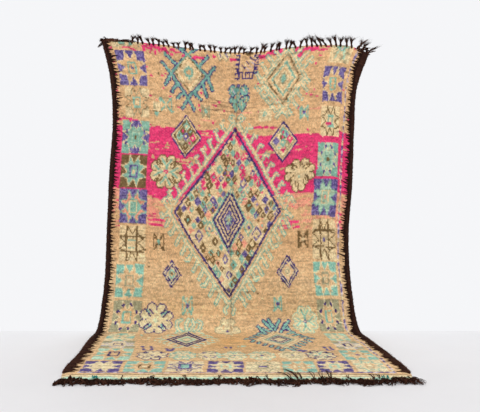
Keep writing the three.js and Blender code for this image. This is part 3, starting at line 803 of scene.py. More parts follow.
def little_figures():
    """The small figures scattered between the large ones."""
    # A zigzag and a comb at the top edge.
    edged(bar(15, (762, 5), (775, 48), (795, 12), (815, 48), (832, 5)), CREAM, OLIVE)
    strokes(PURPLE, (8, (770, 8), (780, 36)), (8, (810, 8), (822, 34)))
    tie(block(892, 14, 1030, 132), TAN)
    for k in range(4):
        top, low, in_by = 18 + 34 * k, 38 + 34 * k, 6 * (k % 2)
        strokes(
            INDIGO,
            (9, (884 + in_by, top), (902, top), (902, low), (884, low)),
            (9, (1034 - in_by, top), (1006, top), (1006, low), (1030, low)),
        )
    for k in range(7):
        a, b = 13 * k, 9 * k
        strokes(INDIGO if k % 2 else CREAM, (8, (912 + a, 98 - a), (934 + a, 120 - a)))
        strokes(LILAC if k % 2 else TAN, (8, (944 + b, 112 - b), (960 + b, 126 - b)))
    for k in range(5):
        strokes(INDIGO, (8, (906 + 24 * k, 136), (906 + 24 * k, 176)))
    for left, right in ((884, 914), (938, 966), (976, 1002)):
        strokes(INDIGO, (9, (left, 178), (right, 178)))
    tie(bar(9, (898, 134), (1004, 134)) & (grain(16, 9, 61) > -0.4), INDIGO)
    tie(oval(966, 6, 26, 12), BROWN)

    # Hourglasses between two posts.
    for left, top, right, bottom, yarn, inner, heart in (
        (346, 356, 436, 456, TEAL, CREAM, CREAM), (640, 372, 700, 462, OLIVE, CREAM, TEAL),
        (1340, 405, 1402, 496, TEAL, CREAM, PURPLE), (345, 1260, 425, 1372, BROWN, CREAM, TEAL),
        (1370, 1238, 1446, 1354, BROWN, CREAM, CREAM), (550, 1656, 624, 1790, TEAL, MINT, PURPLE),
        (1180, 1664, 1240, 1766, TEAL, CREAM, PURPLE),
    ):
        s, v = (left + right) / 2, (top + bottom) / 2
        if yarn == BROWN:
            tie(block(left, top, right, bottom), TAN)
        strokes(
            yarn,
            (11, (left + 5, top + 4), (left + 5, bottom - 4)),
            (11, (right - 5, top + 4), (right - 5, bottom - 4)),
            (12, (left + 10, top + 8), (right - 10, bottom - 8)),
            (12, (right - 10, top + 8), (left + 10, bottom - 8)),
        )
        strokes(inner, (7, (s, top + 6), (s, top + 26)), (7, (s, bottom - 26), (s, bottom - 6)))
        tie(lozenge(s, v, 14, 20), heart)
    # Fragments beside them.
    tie(block(302, 390, 356, 448), CREAM)
    tie(block(302, 398, 314, 442), OLIVE)
    strokes(BROWN, (11, (298, 452), (352, 455)))
    tie(lozenge(322, 458, 20, 38) & (V > 460), TEAL)
    tie(block(1050, 400, 1140, 480) & (grain(22, 12, 62) > -0.75), CREAM)
    tie(lozenge(1093, 435, 14, 22), TEAL)
    tie(lozenge(1093, 435, 6, 9), CREAM)
    # Pairs of short strokes over the row of flowers.
    for s, v, lean in (
        (350, 2296, 0), (398, 2300, 6), (356, 2360, 4), (405, 2352, -4), (486, 2352, 14),
        (530, 2350, -14), (832, 2304, 4), (862, 2302, -2), (1405, 2314, 4), (1440, 2316, -4),
        (1412, 2368, 2), (1444, 2362, -6),
    ):
        strokes(PURPLE, (17, (s, v), (s + lean, v + 44)))
    tie(lozenge(508, 2400, 28, 24) | lozenge(1262, 2410, 34, 34), PURPLE)
    strokes(CREAM, (8, (1238, 2380), (1262, 2404), (1288, 2378)))
    for s, v in ((315, 1485), (1080, 1635), (1010, 1625), (1085, 1320), (353, 200)):
        tie(oval(s, v, 7, 7), BROWN)


def floor_lozenges():
    """The two large lozenges where the rug reaches the floor, faded and hooked."""
    s, v = 608, 2114
    crooks = []
    for k in range(5):
        for d in (-1, 1):
            a, high, low = s + d * (26 + 30 * k), v - 190 + 44 * k, v + 180 - 44 * k
            crooks.append(bar(13, (a, high), (a + 34 * d, high - 24), (a + 52 * d, high + 10)))
            crooks.append(bar(13, (a, low), (a + 30 * d, low + 44), (a + 50 * d, low + 20)))
    tie(grown(either(crooks)) & (grain(12, 26, 71) > -0.35), CREAM)
    tie(either(crooks) & (grain(12, 30, 72) > -0.3), MINT)
    for wide, yarn in (
        (138, CREAM), (129, INDIGO), (107, CREAM), (97, INDIGO), (77, CREAM), (60, MINT),
        (42, OLIVE), (28, CREAM),
    ):
        tie(lozenge(s, v, wide, wide * 1.5), yarn)
    edge = lozenge(s, v, 128, 192) & ~lozenge(s, v, 79, 118) & (chart == INDIGO)
    tie(edge & (grain(10, 10, 73) > 0.6), BROWN)
    for line in (
        ((560, 1930), (530, 1890), (524, 1840), (550, 1830)),
        ((600, 1905), (585, 1860), (600, 1826)),
        ((625, 1905), (640, 1860), (628, 1826)),
        ((655, 1930), (682, 1890), (688, 1846), (662, 1834)),
    ):
        edged(bar(15, *line), CREAM, TEAL)

    s, v = 1182, 2112
    spurs = [bar(16, (1176, 2330), (1140, 2410)), bar(16, (1190, 2330), (1222, 2410))]
    for k in range(5):
        for d in (-1, 1):
            a, high, low = s + d * (40 + 30 * k), v - 190 + 46 * k, v + 196 - 46 * k
            spurs.append(bar(16, (a, high), (a + 42 * d, high - 30), (a + 56 * d, high + 6)))
            spurs.append(bar(16, (a, low), (a + 20 * d, low + 62)))
    dotted = DOTS | (grain(16, 16, 75) > -0.4)
    edged(either(spurs) & (grain(14, 22, 74) > -0.7), TEAL, INDIGO, dotted)
    rings(
        s, v, 152, 224, 1.45, (0, CREAM), (22, TAN), (34, CREAM), (52, OLIVE), (66, MINT),
        (78, INDIGO), (90, CREAM), (100, INDIGO), (112, CREAM),
    )
    for line in (
        ((1110, 1830), (1162, 1905)), ((1072, 1872), (1112, 1940)), ((1214, 1838), (1180, 1905)),
        ((1252, 1868), (1212, 1936)), ((1142, 1824), (1170, 1880)), ((1276, 1846), (1236, 1900)),
    ):
        edged(bar(17, *line), TEAL, INDIGO)
    # Pale traces round them.
    for left, top, right, bottom, yarn in (
        (905, 2240, 960, 2300, MINT), (300, 1950, 330, 2060, MINT), (770, 2440, 800, 2560, MINT),
        (340, 2050, 380, 2120, CREAM), (850, 1960, 900, 2040, CREAM),
    ):
        tie(block(left, top, right, bottom) & (grain(9, 30, 76) > 0.1), yarn)


def end_bands():
    """The plain bands at the foot, tan to cream to a pale blue-green."""
    wisps = grain(60, 10, 81)
    for top, yarn in ((2915, TAN), (2940, CREAM), (2970, MINT)):
        tie(_flat_v > top + 7 * wisps, yarn)
    tie((_flat_v > 2970 + 7 * wisps) & (grain(40, 9, 82) > 0.3), CREAM)


ground()
border()
hooked_lozenges()
great_lozenge()
small_lozenges()
flowers()
little_figures()
floor_lozenges()
end_bands()

# A few knots stray into their neighbours' places, as in hand work: first down, then across.
_random = np.random.default_rng(91)
for _down, _aside, _share in ((1, 0, 0.035), (0, 1, 0.03)):
    _stray = _random.random(chart.shape)[_down:, _aside:] < _share
    chart[_down:, _aside:][_stray] = chart[: ROWS - _down, : KNOTS - _aside][_stray]


def linear(colour):
    """An sRGB colour as the shaders take it."""
    colour = np.asarray(colour, float)
    return np.where(colour <= 0.04045, colour / 12.92, ((colour + 0.055) / 1.055) ** 2.4)


def fold_line(down):
    """The old fold's place across the cloth."""
    return 0.889 + 0.004 * np.sin(down * 5.1)


def dyed_and_shaded():
    """The colour of every knot: its yarn, how the dye took, the shade of its row, and painted light
    and shade.
    """
    mottle = UNEVEN[chart] * (0.45 * grain(16, 9, 93) + 1.1 * _random.uniform(-1, 1, chart.shape))
    deep = np.isin(chart, (PURPLE, INDIGO, BROWN))
    kept = 0.5 * ramp(1900, 2100, _flat_v) * deep
    take = np.clip(0.42 + 0.17 * grain(60, 40, 92) + mottle - kept, 0, 1)[..., None]
    colour = USUAL[chart] * (1 - take) + OTHER[chart] * take
    # Rows differ in shade, as a whole and along their length.
    shade = 0.03 * grain(900, 34, 94) + 0.040 * grain(240, KNOT_H, 95)
    shade = shade + 0.062 * grain(30, KNOT_H, 96)
    # Short dark wisps of painted shade run along them where the pile has opened, and every knot has
    # its own shade.
    shade = shade - 0.34 * np.maximum(grain(36, KNOT_H, 98) - 0.50, 0)
    shade = shade + 0.12 * _random.uniform(-1, 1, chart.shape)
    # Longer streaks cross the lower field and the top, and the field between is a little paler.
    streaked = ramp(1150, 1300, _flat_v) * ramp(1900, 1750, _flat_v) + 0.6 * ramp(520, 400, _flat_v)
    shade = shade - 0.10 * streaked * (grain(130, KNOT_H, 99) > 0.78)
    shade = shade + 0.02 * ramp(1230, 1380, _flat_v) * ramp(2020, 1880, _flat_v)
    # Painted shade in short creases that run out from the fold, near the top.
    for places in (
        ((640, 352), (720, 348), (800, 366), (868, 372)), ((700, 322), (790, 338), (866, 342)),
        ((720, 398), (800, 392), (872, 408)), ((905, 392), (960, 378), (1030, 382)),
    ):
        shade = shade - 0.20 * bar(9, *places)
    # The fold down the middle has kept its crease: painted shade along it.
    fold = np.abs(_flat_s - 1000 * fold_line(_flat_v / 1000))
    opened = ramp(60, 300, _flat_v) * ramp(2060, 1900, _flat_v)
    shade = shade - opened * (0.15 * (fold < 4.5) + 0.035 * ramp(60, 10, fold))
    # Painted light: the lower hung field is painted paler and cooler, less so in the deep yarns,
    # for the light that falls there. The floor part is paler still, and its tan has a golden stain.
    light = ramp(1250, 1650, _flat_v) * (1 - 0.8 * deep)
    colour = colour * (1 + light[..., None] * np.array([0.035, 0.085, 0.13]))
    paler_on_floor = 0.06 * ramp(1900, 2300, _flat_v) * ~deep
    colour = colour + paler_on_floor[..., None] * (np.array([0.86, 0.79, 0.66]) - colour)
    stain = np.exp(-(((_flat_s - 860) / 260) ** 2) - ((_flat_v - 2200) / 230) ** 2)
    stain = stain * (0.7 + 0.3 * grain(50, 20, 100)) + 0.25 * ramp(1950, 2150, _flat_v)
    colour = colour * (1 - (stain * (chart == TAN))[..., None] * np.array([0.03, 0.08, 0.18]))
    # The end bands are flat weave, with rows of weft, a dark first row and a worn last one.
    weft = ramp(2905, 2912, _flat_v) * 0.10 * np.sin(_flat_v / 5.5)
    shade = shade + weft - 0.10 * ramp(2908, 2915, _flat_v) * ramp(2944, 2936, _flat_v)
    worn = 0.03 * ramp(2850, 3000, _flat_v)
    return np.clip(colour * (1 + shade + worn)[..., None], 0, 1)


knot_colours = dyed_and_shaded()

# The cloth


def placed(name, data):
    """A new object in the scene."""
    made = bpy.data.objects.new(name, data)
    bpy.context.scene.collection.objects.link(made)
    return made


def filled(name, points, faces, materials, slots=None):
    """A piece from its points and faces, which are given as corner lists of any lengths."""
    made = placed(name, bpy.data.meshes.new(name))
    made.data.from_pydata([tuple(p) for p in points], [], faces)
    for each in materials:
        made.data.materials.append(each)
    made.data.polygons.foreach_set("use_smooth", [True] * len(faces))
    if slots is not None:
        made.data.polygons.foreach_set("material_index", slots)
    made.data.update()
    return made


def paint_corners(made, name, colours):
    """Stores a colour for each corner of each face."""
    layer = made.data.color_attributes.new(name, "FLOAT_COLOR", "CORNER")
    rgba = np.ones((len(colours), 4), np.float32)
    rgba[:, :3] = colours
    layer.data.foreach_set("color", rgba.ravel())


class Socket:
    """A shader value that Python's own operators work on."""

    tree = None

    def __init__(self, link):
        self.link = link

    @classmethod
    def node(cls, kind, settings=(), out=0, **values):
        """An output of a new node. Inputs are named, or numbered as i0, i1 and so on."""
        made = cls.tree.nodes.new(kind)
        for key, value in dict(settings).items():
            if key == "stops":
                made.color_ramp.interpolation = "CONSTANT"
                stops = made.color_ramp.elements
                while len(stops) < len(value):
                    stops.new(0.5)
                for stop, (at, colour) in zip(stops, value):
                    stop.position, stop.color = at, (*colour, 1)
            else:
                setattr(made, key, value)
        for key, value in values.items():
            cls.put(made.inputs[int(key[1:]) if key[1:].isdigit() else key], value)
        return cls(made.outputs[out])

    @classmethod
    def put(cls, socket, value):
        """Links a socket into an input, or sets the input to a plain value."""
        if isinstance(value, Socket):
            cls.tree.links.new(value.link, socket)
        else:
            socket.default_value = value

    def maths(self, operation, other=None, swap=False):
        """A maths node on this value and another."""
        a, b = (other, self) if swap else (self, other)
        values = {"i0": a} if other is None else {"i0": a, "i1": b}
        return Socket.node("ShaderNodeMath", {"operation": operation}, **values)

    def __add__(self, other):
        return self.maths("ADD", other)

    def __sub__(self, other):
        return self.maths("SUBTRACT", other)

    def __mul__(self, other):
        return self.maths("MULTIPLY", other)

    def __rsub__(self, other):
        return self.maths("SUBTRACT", other, swap=True)

    __radd__, __rmul__ = __add__, __mul__

    def scaled(self, factor):
        """A colour or vector times a number, socket or triple."""
        operation = "MULTIPLY" if isinstance(factor, tuple) else "SCALE"
        values = {"i1": factor} if operation == "MULTIPLY" else {"i3": factor}
        return Socket.node("ShaderNodeVectorMath", {"operation": operation}, i0=self, **values)

    def mixed(self, other, factor):
        """This colour mixed with another."""
        return mix(self, other, factor)


def mix(first, second, factor):
    """A colour between two others."""
    settings = {"data_type": "RGBA"}
    return Socket.node("ShaderNodeMix", settings, out=2, i0=factor, i6=first, i7=second)


def noise(vector, scale, detail=2.0, rough=0.55):
    """Fine unevenness, from 0 to 1."""
    values = {"Vector": vector, "Scale": scale, "Detail": detail, "Roughness": rough}
    return Socket.node("ShaderNodeTexNoise", {"noise_dimensions": "3D"}, **values)


def bump(height, strength, distance):
    """A normal pushed by a height."""
    return Socket.node("ShaderNodeBump", Strength=strength, Distance=distance, Height=height)


def material(name, recipe, roughness=0.9, sheen=0.0, sheen_tint=(1, 1, 1), gloss=0.25):
    """A material whose recipe gives the shader's inputs."""
    made = bpy.data.materials.new(name)
    made.use_nodes = True
    Socket.tree = made.node_tree
    shader = made.node_tree.nodes["Principled BSDF"]
    shader.inputs["Roughness"].default_value = roughness
    shader.inputs["Specular IOR Level"].default_value = gloss
    shader.inputs["Sheen Weight"].default_value = sheen
    shader.inputs["Sheen Roughness"].default_value = 0.5
    shader.inputs["Sheen Tint"].default_value = (*sheen_tint, 1)
    for key, value in recipe().items():
        Socket.put(shader.inputs[key], value)
    return made


# Waves that rise once for each row and each knot of the flat cloth.
ROW_WAVE, KNOT_WAVE = 2 * math.pi * ROWS / LENGTH, 2 * math.pi * KNOTS / WIDTH


def wool_pile():
    """Cut pile: tufts in rows, fine fibres, and painted shade between the tufts."""
    uv = Socket.node("ShaderNodeUVMap", {"uv_map": "flat"})
    dye = Socket.node("ShaderNodeVertexColor", {"layer_name": "yarn"})
    x, y = (Socket.node("ShaderNodeSeparateXYZ", out=k, Vector=uv) for k in (0, 1))
    drift = noise(uv, 34.0, 1.0) * 1.4
    rows = (y * ROW_WAVE + drift).maths("SINE") * 0.5 + 0.5
    tufts = (x * KNOT_WAVE + drift * 2.0).maths("SINE") * 0.5 + 0.5
    fibres = noise(uv.scaled((1.0, 0.34, 1.0)), 1500.0, 3.0, 0.65)
    clumps = noise(uv.scaled((0.8, 1.0, 1.0)), 190.0, 2.0)
    height = rows * 0.55 + tufts * 0.18 + fibres * 0.55 + clumps * 0.9
    # The colour is darkened between the rows and tufts: painted shade. Fibres and clumps vary its
    # tone.
    shade = 0.57 + rows * 0.14 + tufts * 0.05 + fibres * 0.22 + clumps * 0.44
    return {
        "Base Color": dye.scaled(shade),
        "Roughness": 0.82 + fibres * 0.16,
        "Normal": bump(height, 0.55, 0.0022),
    }


def knot_yarn(x, y):
    """The yarn of the back's knot at a place, read from the numbers that its face holds."""
    column = (x * (KNOTS / WIDTH)).maths("FLOOR").maths("MODULO", COARSE)
    row = ((LENGTH - y) * (ROWS / LENGTH)).maths("FLOOR").maths("MODULO", COARSE)
    code = 0.5
    for k in range(COARSE):
        held = Socket.node("ShaderNodeAttribute", {"attribute_name": f"knots_{k}"}, out=2)
        code = held * (row - k).maths("ABSOLUTE").maths("LESS_THAN", 0.5) + code
    digit = code.maths("DIVIDE", (column * CODE_BITS).maths("POWER", 2.0, swap=True)).maths("FLOOR")
    share = (digit.maths("MODULO", 2.0 ** CODE_BITS) + 0.5) * 2.0 ** -CODE_BITS
    stops = [(k * 2.0 ** -CODE_BITS, dye) for k, dye in enumerate(linear((USUAL + OTHER) / 2))]
    return Socket.node("ShaderNodeValToRGB", {"stops": stops}, Fac=share)


def wool_back():
    """The back: flat knots between weft rows, duller than the pile, with painted shade round each
    knot.
    """
    uv = Socket.node("ShaderNodeUVMap", {"uv_map": "flat"})
    x, y = (Socket.node("ShaderNodeSeparateXYZ", out=k, Vector=uv) for k in (0, 1))
    rows = (y * ROW_WAVE).maths("COSINE") * -0.5 + 0.5
    warps = (x * (2 * KNOT_WAVE)).maths("COSINE") * -0.5 + 0.5
    fibres = noise(uv, 900.0, 3.0)
    streaks = noise(uv.scaled((0.25, 1.0, 1.0)), 120.0, 2.0)
    worn = noise(uv, 7.0, 3.0)
    knots = knot_yarn(x, y).mixed((0.46, 0.35, 0.24, 1), 0.14 + worn * 0.16)
    weft = knots.mixed((0.40, 0.29, 0.19, 1), 0.5 - rows * 0.5)
    # Painted shade darkens the colour between the rows and the warps, round each knot.
    shade = 0.50 + rows * 0.14 + warps * 0.10 + fibres * 0.22 + streaks * 0.30
    return {
        "Base Color": weft.scaled(shade),
        "Roughness": 0.85 + fibres * 0.12,
        "Normal": bump(rows * 0.6 + warps * 0.4 + fibres * 0.3, 0.6, 0.0015),
    }


def goat_hair():
    """Dark hair, with brown and near-black fibres along each wrap."""
    place = Socket.node("ShaderNodeTexCoord", out=3)
    shade = Socket.node("ShaderNodeVertexColor", {"layer_name": "yarn"})
    fibres = noise(place.scaled((0.5, 1.0, 1.0)), 1300.0, 3.0, 0.7)
    clumps = noise(place, 160.0, 2.0)
    return {
        "Base Color": shade.scaled(0.45 + fibres * 0.65 + clumps * 0.45),
        "Roughness": 0.80 + fibres * 0.18,
        "Normal": bump(fibres + clumps * 0.6, 0.7, 0.0012),
    }


WOOL = material("wool pile", wool_pile, sheen=0.03, sheen_tint=(1.0, 0.93, 0.84), gloss=0.10)
WOOL_BACK = material("wool back", wool_back, gloss=0.10)
GOAT = material("goat hair", goat_hair, gloss=0.04)


# How far a knot's corners take the colour of the knots round them, and stray from their places.
BLENDED = 0.3
JITTER = 0.0019
# How much higher the tallest yarn stands, how far the pile's height drifts, and each knot's share.
TUFT, DRIFT, OWN = 0.0011, 0.0007, 0.0006
# How far the shortest tufts stay under the cloth's thickness, the share of its height that the pile
# keeps at the sides and at the ends, and how far in from them it is full.
PILE_UNDER = 0.0012
SIDE_SHARE, SIDE_RISE = 0.45, 0.035
END_SHARE, END_RISE = 0.55, 0.014
# How deep the old fold is pressed into the pile, and how wide.
GROOVE, GROOVE_WIDE = 0.0035, 0.007


def averaged(grid):
    """The mean of the four knots at each corner."""
    grid = np.pad(grid, ((1, 1), (1, 1)) + ((0, 0),) * (grid.ndim - 2), mode="edge")
    return (grid[1:, 1:] + grid[:-1, 1:] + grid[1:, :-1] + grid[:-1, :-1]) / 4


def rug_cloth():
    """One closed cloth: the knotted face, one quad for each knot, and a coarser back."""
    random = np.random.default_rng(7)
    s = np.linspace(0, WIDTH, KNOTS + 1)
    down = np.linspace(0, LENGTH, ROWS + 1)
    down_grid, s_grid = (grid.copy() for grid in np.meshgrid(down, s, indexing="ij"))
    for grid in (s_grid, down_grid):
        grid[1:-1, 1:-1] += random.uniform(-1, 1, (ROWS - 1, KNOTS - 1)) * JITTER
    # The pile stands taller in some yarns, and dips at the sides, under the selvedges.
    tall = TALL[chart] * TUFT + grain(90, 60, 97) * DRIFT
    tall = tall + random.uniform(-1, 1, chart.shape) * OWN
    lift = THICKNESS - PILE_UNDER + averaged(tall)
    for gap, share, rise in (
        (np.minimum(s_grid, WIDTH - s_grid), SIDE_SHARE, SIDE_RISE),
        (np.minimum(down_grid, LENGTH - down_grid), END_SHARE, END_RISE),
    ):
        lift *= share + (1 - share) * ramp(0, rise, gap)
    groove = np.exp(-(((s_grid - fold_line(down_grid)) / GROOVE_WIDE) ** 2))
    lift -= GROOVE * groove * ramp(0.1, 0.4, down_grid) * ramp(2.05, 1.95, down_grid)
    face = on_cloth(s_grid, down_grid, lift).reshape(-1, 3)

    coarse_rows, coarse_knots = ROWS // COARSE, KNOTS // COARSE
    back_down, back_s = np.meshgrid(down[::COARSE], s[::COARSE], indexing="ij")
    back = on_cloth(back_s, back_down, np.zeros(back_s.shape)).reshape(-1, 3)
    points = np.concatenate([face, back])

    def quads(rows, columns, offset, turned):
        """Four corners for each place in a grid of points."""
        i, j = np.meshgrid(np.arange(rows), np.arange(columns), indexing="ij")
        a = (i * (columns + 1) + j + offset).ravel()
        b, c, d = a + 1, a + columns + 2, a + columns + 1
        return np.stack([a, b, c, d] if turned else [a, d, c, b], 1)

    front_faces = quads(ROWS, KNOTS, 0, False)
    back_faces = quads(coarse_rows, coarse_knots, len(face), True)

    # Round the rim, runs of the face's corners meet the coarser ones behind them.
    rims = []
    fine_grid = np.arange(len(face)).reshape(ROWS + 1, KNOTS + 1)
    coarse_grid = (np.arange(len(back)) + len(face)).reshape(coarse_rows + 1, coarse_knots + 1)
    for fine, coarse in zip(*(
        (grid[0], grid[-1][::-1], grid[::-1, 0], grid[:, -1]) for grid in (fine_grid, coarse_grid)
    )):
        for k in range(len(coarse) - 1):
            run = fine[k * COARSE : (k + 1) * COARSE + 1]
            rims.append([*run.tolist(), int(coarse[k + 1]), int(coarse[k])])
    faces = [*front_faces.tolist(), *back_faces.tolist(), *rims]
    slots = [0] * len(front_faces) + [1] * len(back_faces) + [0] * len(rims)
    made = filled("rug_pile", points, faces, [WOOL, WOOL_BACK], slots=slots)

    # Every corner has its knot's colour, and its place on the flat cloth in metres.
    loops = np.empty(len(made.data.loops), int)
    made.data.loops.foreach_get("vertex_index", loops)
    blend = averaged(knot_colours)
    around = np.stack([blend[:-1, :-1], blend[1:, :-1], blend[1:, 1:], blend[:-1, 1:]], 2)
    fine = ((1 - BLENDED) * knot_colours[:, :, None] + BLENDED * around).reshape(-1, 3)
    dull = knot_colours.reshape(coarse_rows, COARSE, coarse_knots, COARSE, 3)[:, 1, :, 1]
    dull = np.repeat(dull.reshape(-1, 3), 4, 0)
    warp = np.repeat([(0.55, 0.42, 0.30)], len(loops) - len(fine) - len(dull), 0)
    paint_corners(made, "yarn", linear(np.concatenate([fine, dull, warp])))
    # Each of the back's faces holds the yarns of its knots, a number for each of their rows.
    codes = chart.reshape(coarse_rows, COARSE, coarse_knots, COARSE)
    codes = (codes * 2 ** (CODE_BITS * np.arange(COARSE))).sum(3)
    for k in range(COARSE):
        held = np.zeros(len(faces), np.float32)
        held[len(front_faces) : len(front_faces) + len(back_faces)] = codes[:, k].ravel()
        made.data.attributes.new(f"knots_{k}", "FLOAT", "FACE").data.foreach_set("value", held)
    across, up = (np.concatenate([a.ravel(), b.ravel()]) for a, b in (
        (s_grid, back_s), (LENGTH - down_grid, LENGTH - back_down),
    ))
    place = np.stack([across, up], 1)[loops].astype(np.float32)
    made.data.uv_layers.new(name="flat").data.foreach_set("uv", place.ravel())
    return made


rug_pile = rug_cloth()

# The selvedges


def swept(path, across, up, radii, sides):
    """Points and faces of closed tubes: path is (tubes, steps, 3), and radii is (tubes, steps)."""
    tubes, steps = path.shape[:2]
    turn = np.arange(sides) * 2 * math.pi / sides
    ring = (
        path[:, :, None]
        + across[:, :, None] * (radii[:, :, None] * np.cos(turn))[..., None]
        + up[:, :, None] * (radii[:, :, None] * np.sin(turn))[..., None]
    )
    points = ring.reshape(-1, 3)
    t, k, i = np.meshgrid(np.arange(tubes), np.arange(steps - 1), np.arange(sides), indexing="ij")
    a = (t * steps + k) * sides + i
    b = (t * steps + k) * sides + (i + 1) % sides
    faces = np.stack([a, b, b + sides, a + sides], -1).reshape(-1, 4).tolist()
    for n in range(tubes):
        first = n * steps * sides
        last = first + (steps - 1) * sides
        faces.append(list(range(first, first + sides))[::-1])
        faces.append(list(range(last, last + sides)))
    return points, faces


def frames_of(path):
    """Two directions square to each path, at every step."""
    along = np.gradient(path, axis=1)
    along /= np.linalg.norm(along, axis=-1, keepdims=True) + 1e-12
    guide = np.broadcast_to(np.array([0.0, -0.8, 0.6]), along.shape)
    across = np.cross(along, guide)
    across /= np.linalg.norm(across, axis=-1, keepdims=True) + 1e-12
    return across, np.cross(across, along)


def strands(paths, radii, sides=3):
    """Tubes along paths, with three sides where nothing else is said."""
    across, up = frames_of(paths)
    return swept(paths, across, up, radii, sides)


def joined(name, parts, tones):
    """One piece from several point and face lists, each with a tone for every face."""
    points, faces, corner_tones, start = [], [], [], 0
    for (part_points, part_faces), tone in zip(parts, tones):
        points.append(part_points)
        faces += [[c + start for c in f] for f in part_faces]
        start += len(part_points)
        corner_tones.append(np.repeat(tone, [len(f) for f in part_faces], axis=0))
    made = filled(name, np.concatenate(points), faces, [GOAT])
    paint_corners(made, "yarn", np.concatenate(corner_tones))
    return made


HAIR = linear((0.175, 0.105, 0.085))
HAIR_LIGHT = linear((0.37, 0.235, 0.18))
# The length of cloth that one wrap covers, where the wraps end, and the gap between stitches.
WRAP = 0.0095
WRAP_END = 2.896
STITCH = 0.0215
# Where the long stitches are, down the left side, 1, and the right side, 2.
LONG_STITCHES = {1: (0.105, 0.210, 0.385, 1.24), 2: (0.44, 0.90, 1.39)}
# Points down a selvedge and round it, and the hairs that stand off it.
WRAP_ROWS, WRAP_SIDES, STRAY_HAIRS = 1260, 14, 900
# A stitch's taper, its steps and its sides.
TAPER = np.array([1.0, 1.0, 0.88, 0.66, 0.42, 0.12])
STITCH_SIDES = 6


def selvedge(which, name):
    """Goat hair wound over the edge warps, and the stitches that reach in over the pile."""
    random = np.random.default_rng(100 + which)

    def from_side(inset):
        """The place across the cloth that is so far in from this side."""
        return inset if which == 1 else WIDTH - inset

    down = np.linspace(0.0005, WRAP_END, WRAP_ROWS)
    turn = np.arange(WRAP_SIDES) * 2 * math.pi / WRAP_SIDES
    # A flattened ring round the edge: outer side rounded, inner side tapering on to the pile.
    wrap = down[:, None] / WRAP + turn[None] / (2 * math.pi) * 0.55
    fat = random.uniform(-1, 1, int(WRAP_END / WRAP) + 3)
    bulge = np.abs(np.sin(math.pi * wrap)) ** 0.7 * (1 + 0.7 * fat[wrap.astype(int)])
    lumps = np.interp(down, np.arange(0, 3.1, 0.024), random.uniform(-1, 1, 130))
    lumps = lumps + 0.8 * np.interp(down, np.arange(0, 3.1, 0.067), random.uniform(-1, 1, 47))
    if which == 1:
        wide = 0.0180 - 0.003 * ramp(0.25, 0.05, down)
        wide = wide + 0.0022 * np.sin(down * 9) * ramp(2.1, 1.8, down)
    else:
        wide = 0.0180 + 0.0065 * ramp(0.30, 0.06, down)
        wide = wide + 0.0015 * np.sin(down * 17) + 0.002 * ramp(1.7, 1.9, down)
    wide = wide * (1 - 0.36 * on_floor(down))
    centre = wide - 0.0015 + 0.0024 * lumps
    wide = wide * (0.45 + 0.55 * ramp(WRAP_END, WRAP_END - 0.03, down))
    wide = wide + 0.0010 * random.uniform(-1, 1, WRAP_ROWS)
    reach = wide[:, None] + 0.0026 * bulge + 0.0020 * lumps[:, None]
    s = from_side(centre[:, None] - reach * np.cos(turn)[None])
    flat = 1 - 0.38 * on_floor(down, 2.05)[:, None]
    lift = 0.0062 * flat + (0.0056 * flat + 0.0018 * bulge) * np.sin(turn)[None]
    lift = np.maximum(lift, 0.0002)
    points = on_cloth(s, np.broadcast_to(down[:, None], s.shape), lift).reshape(-1, 3)
    k, i = np.meshgrid(np.arange(WRAP_ROWS - 1), np.arange(WRAP_SIDES), indexing="ij")
    a, b = k * WRAP_SIDES + i, k * WRAP_SIDES + (i + 1) % WRAP_SIDES
    c, d = b + WRAP_SIDES, a + WRAP_SIDES
    faces = np.stack([a, b, c, d] if which == 1 else [a, d, c, b], -1).reshape(-1, 4).tolist()
    ends = [list(range(WRAP_SIDES)), list(range(len(points) - WRAP_SIDES, len(points)))]
    ends[which - 1].reverse()
    # Wraps differ in shade. Those on the floor have faded to brown, and are painted lighter as
    # well, for the light that falls on them there.
    grey = 0.5 + 0.5 * fat[wrap[:-1].astype(int)]
    grey = grey + random.uniform(-0.5, 0.5, (WRAP_ROWS - 1, WRAP_SIDES))
    faded = on_floor(down[:-1])[:, None]
    share = np.clip(0.26 * grey + 0.58 * faded * (0.4 + 0.6 * grey), 0, 0.95).reshape(-1, 1)
    # The hair on the floor is painted lighter here: painted light.
    tone = HAIR * (1 + 0.75 * np.repeat(faded, WRAP_SIDES, 0))
    tone = np.concatenate([tone * (1 - share) + HAIR_LIGHT * share, [HAIR, HAIR]])
    parts, tones = [(points, faces + ends)], [tone]

    # The stitches that bind it to the pile: wedges in a steady comb, a few of them long.
    starts = np.arange(0.012, WRAP_END - 0.01, STITCH)
    starts = starts + random.uniform(-0.005, 0.005, len(starts))
    reach = random.uniform(0.014, 0.032, len(starts)) * (1.0 if which == 1 else 0.85)
    small = starts + 0.0105 + random.uniform(-0.003, 0.003, len(starts))
    starts = np.concatenate([starts, small])
    reach = np.concatenate([reach, random.uniform(0.002, 0.014, len(small))])
    reach = reach * (1.25 + 0.75 * on_floor(starts))
    slant = random.uniform(-0.004, 0.008, len(starts))
    for v in LONG_STITCHES[which]:
        starts, slant = np.append(starts, v), np.append(slant, -0.012)
        reach = np.append(reach, random.uniform(0.045, 0.06))
    starts = np.clip(starts, 0.004, WRAP_END - 0.004)
    t = np.linspace(0, 1, len(TAPER))
    root = np.interp(starts, down, centre + wide)[:, None] - 0.012
    inset = root + (0.012 + reach[:, None]) * t
    height = np.broadcast_to(0.0090 + 0.0030 * t ** 0.5, inset.shape)
    place = np.clip(starts[:, None] + slant[:, None] * t, 0.002, LENGTH - 0.002)
    radius = TAPER * (0.0062 + 0.0020 * random.uniform(-1, 1, (len(starts), 1)))
    stitches = strands(on_cloth(from_side(inset), place, height), radius, STITCH_SIDES)
    parts.append(stitches)
    # Stitches on the floor are paler at random: partly faded hair, partly painted light.
    paler = np.repeat(
        0.35 * on_floor(starts, 2.05) * random.random(len(starts)), (len(t) - 1) * STITCH_SIDES
    )
    paler = np.concatenate([paler, np.zeros(len(stitches[1]) - len(paler))])[:, None]
    tones.append(HAIR * (1 - paler) + HAIR_LIGHT * paler)

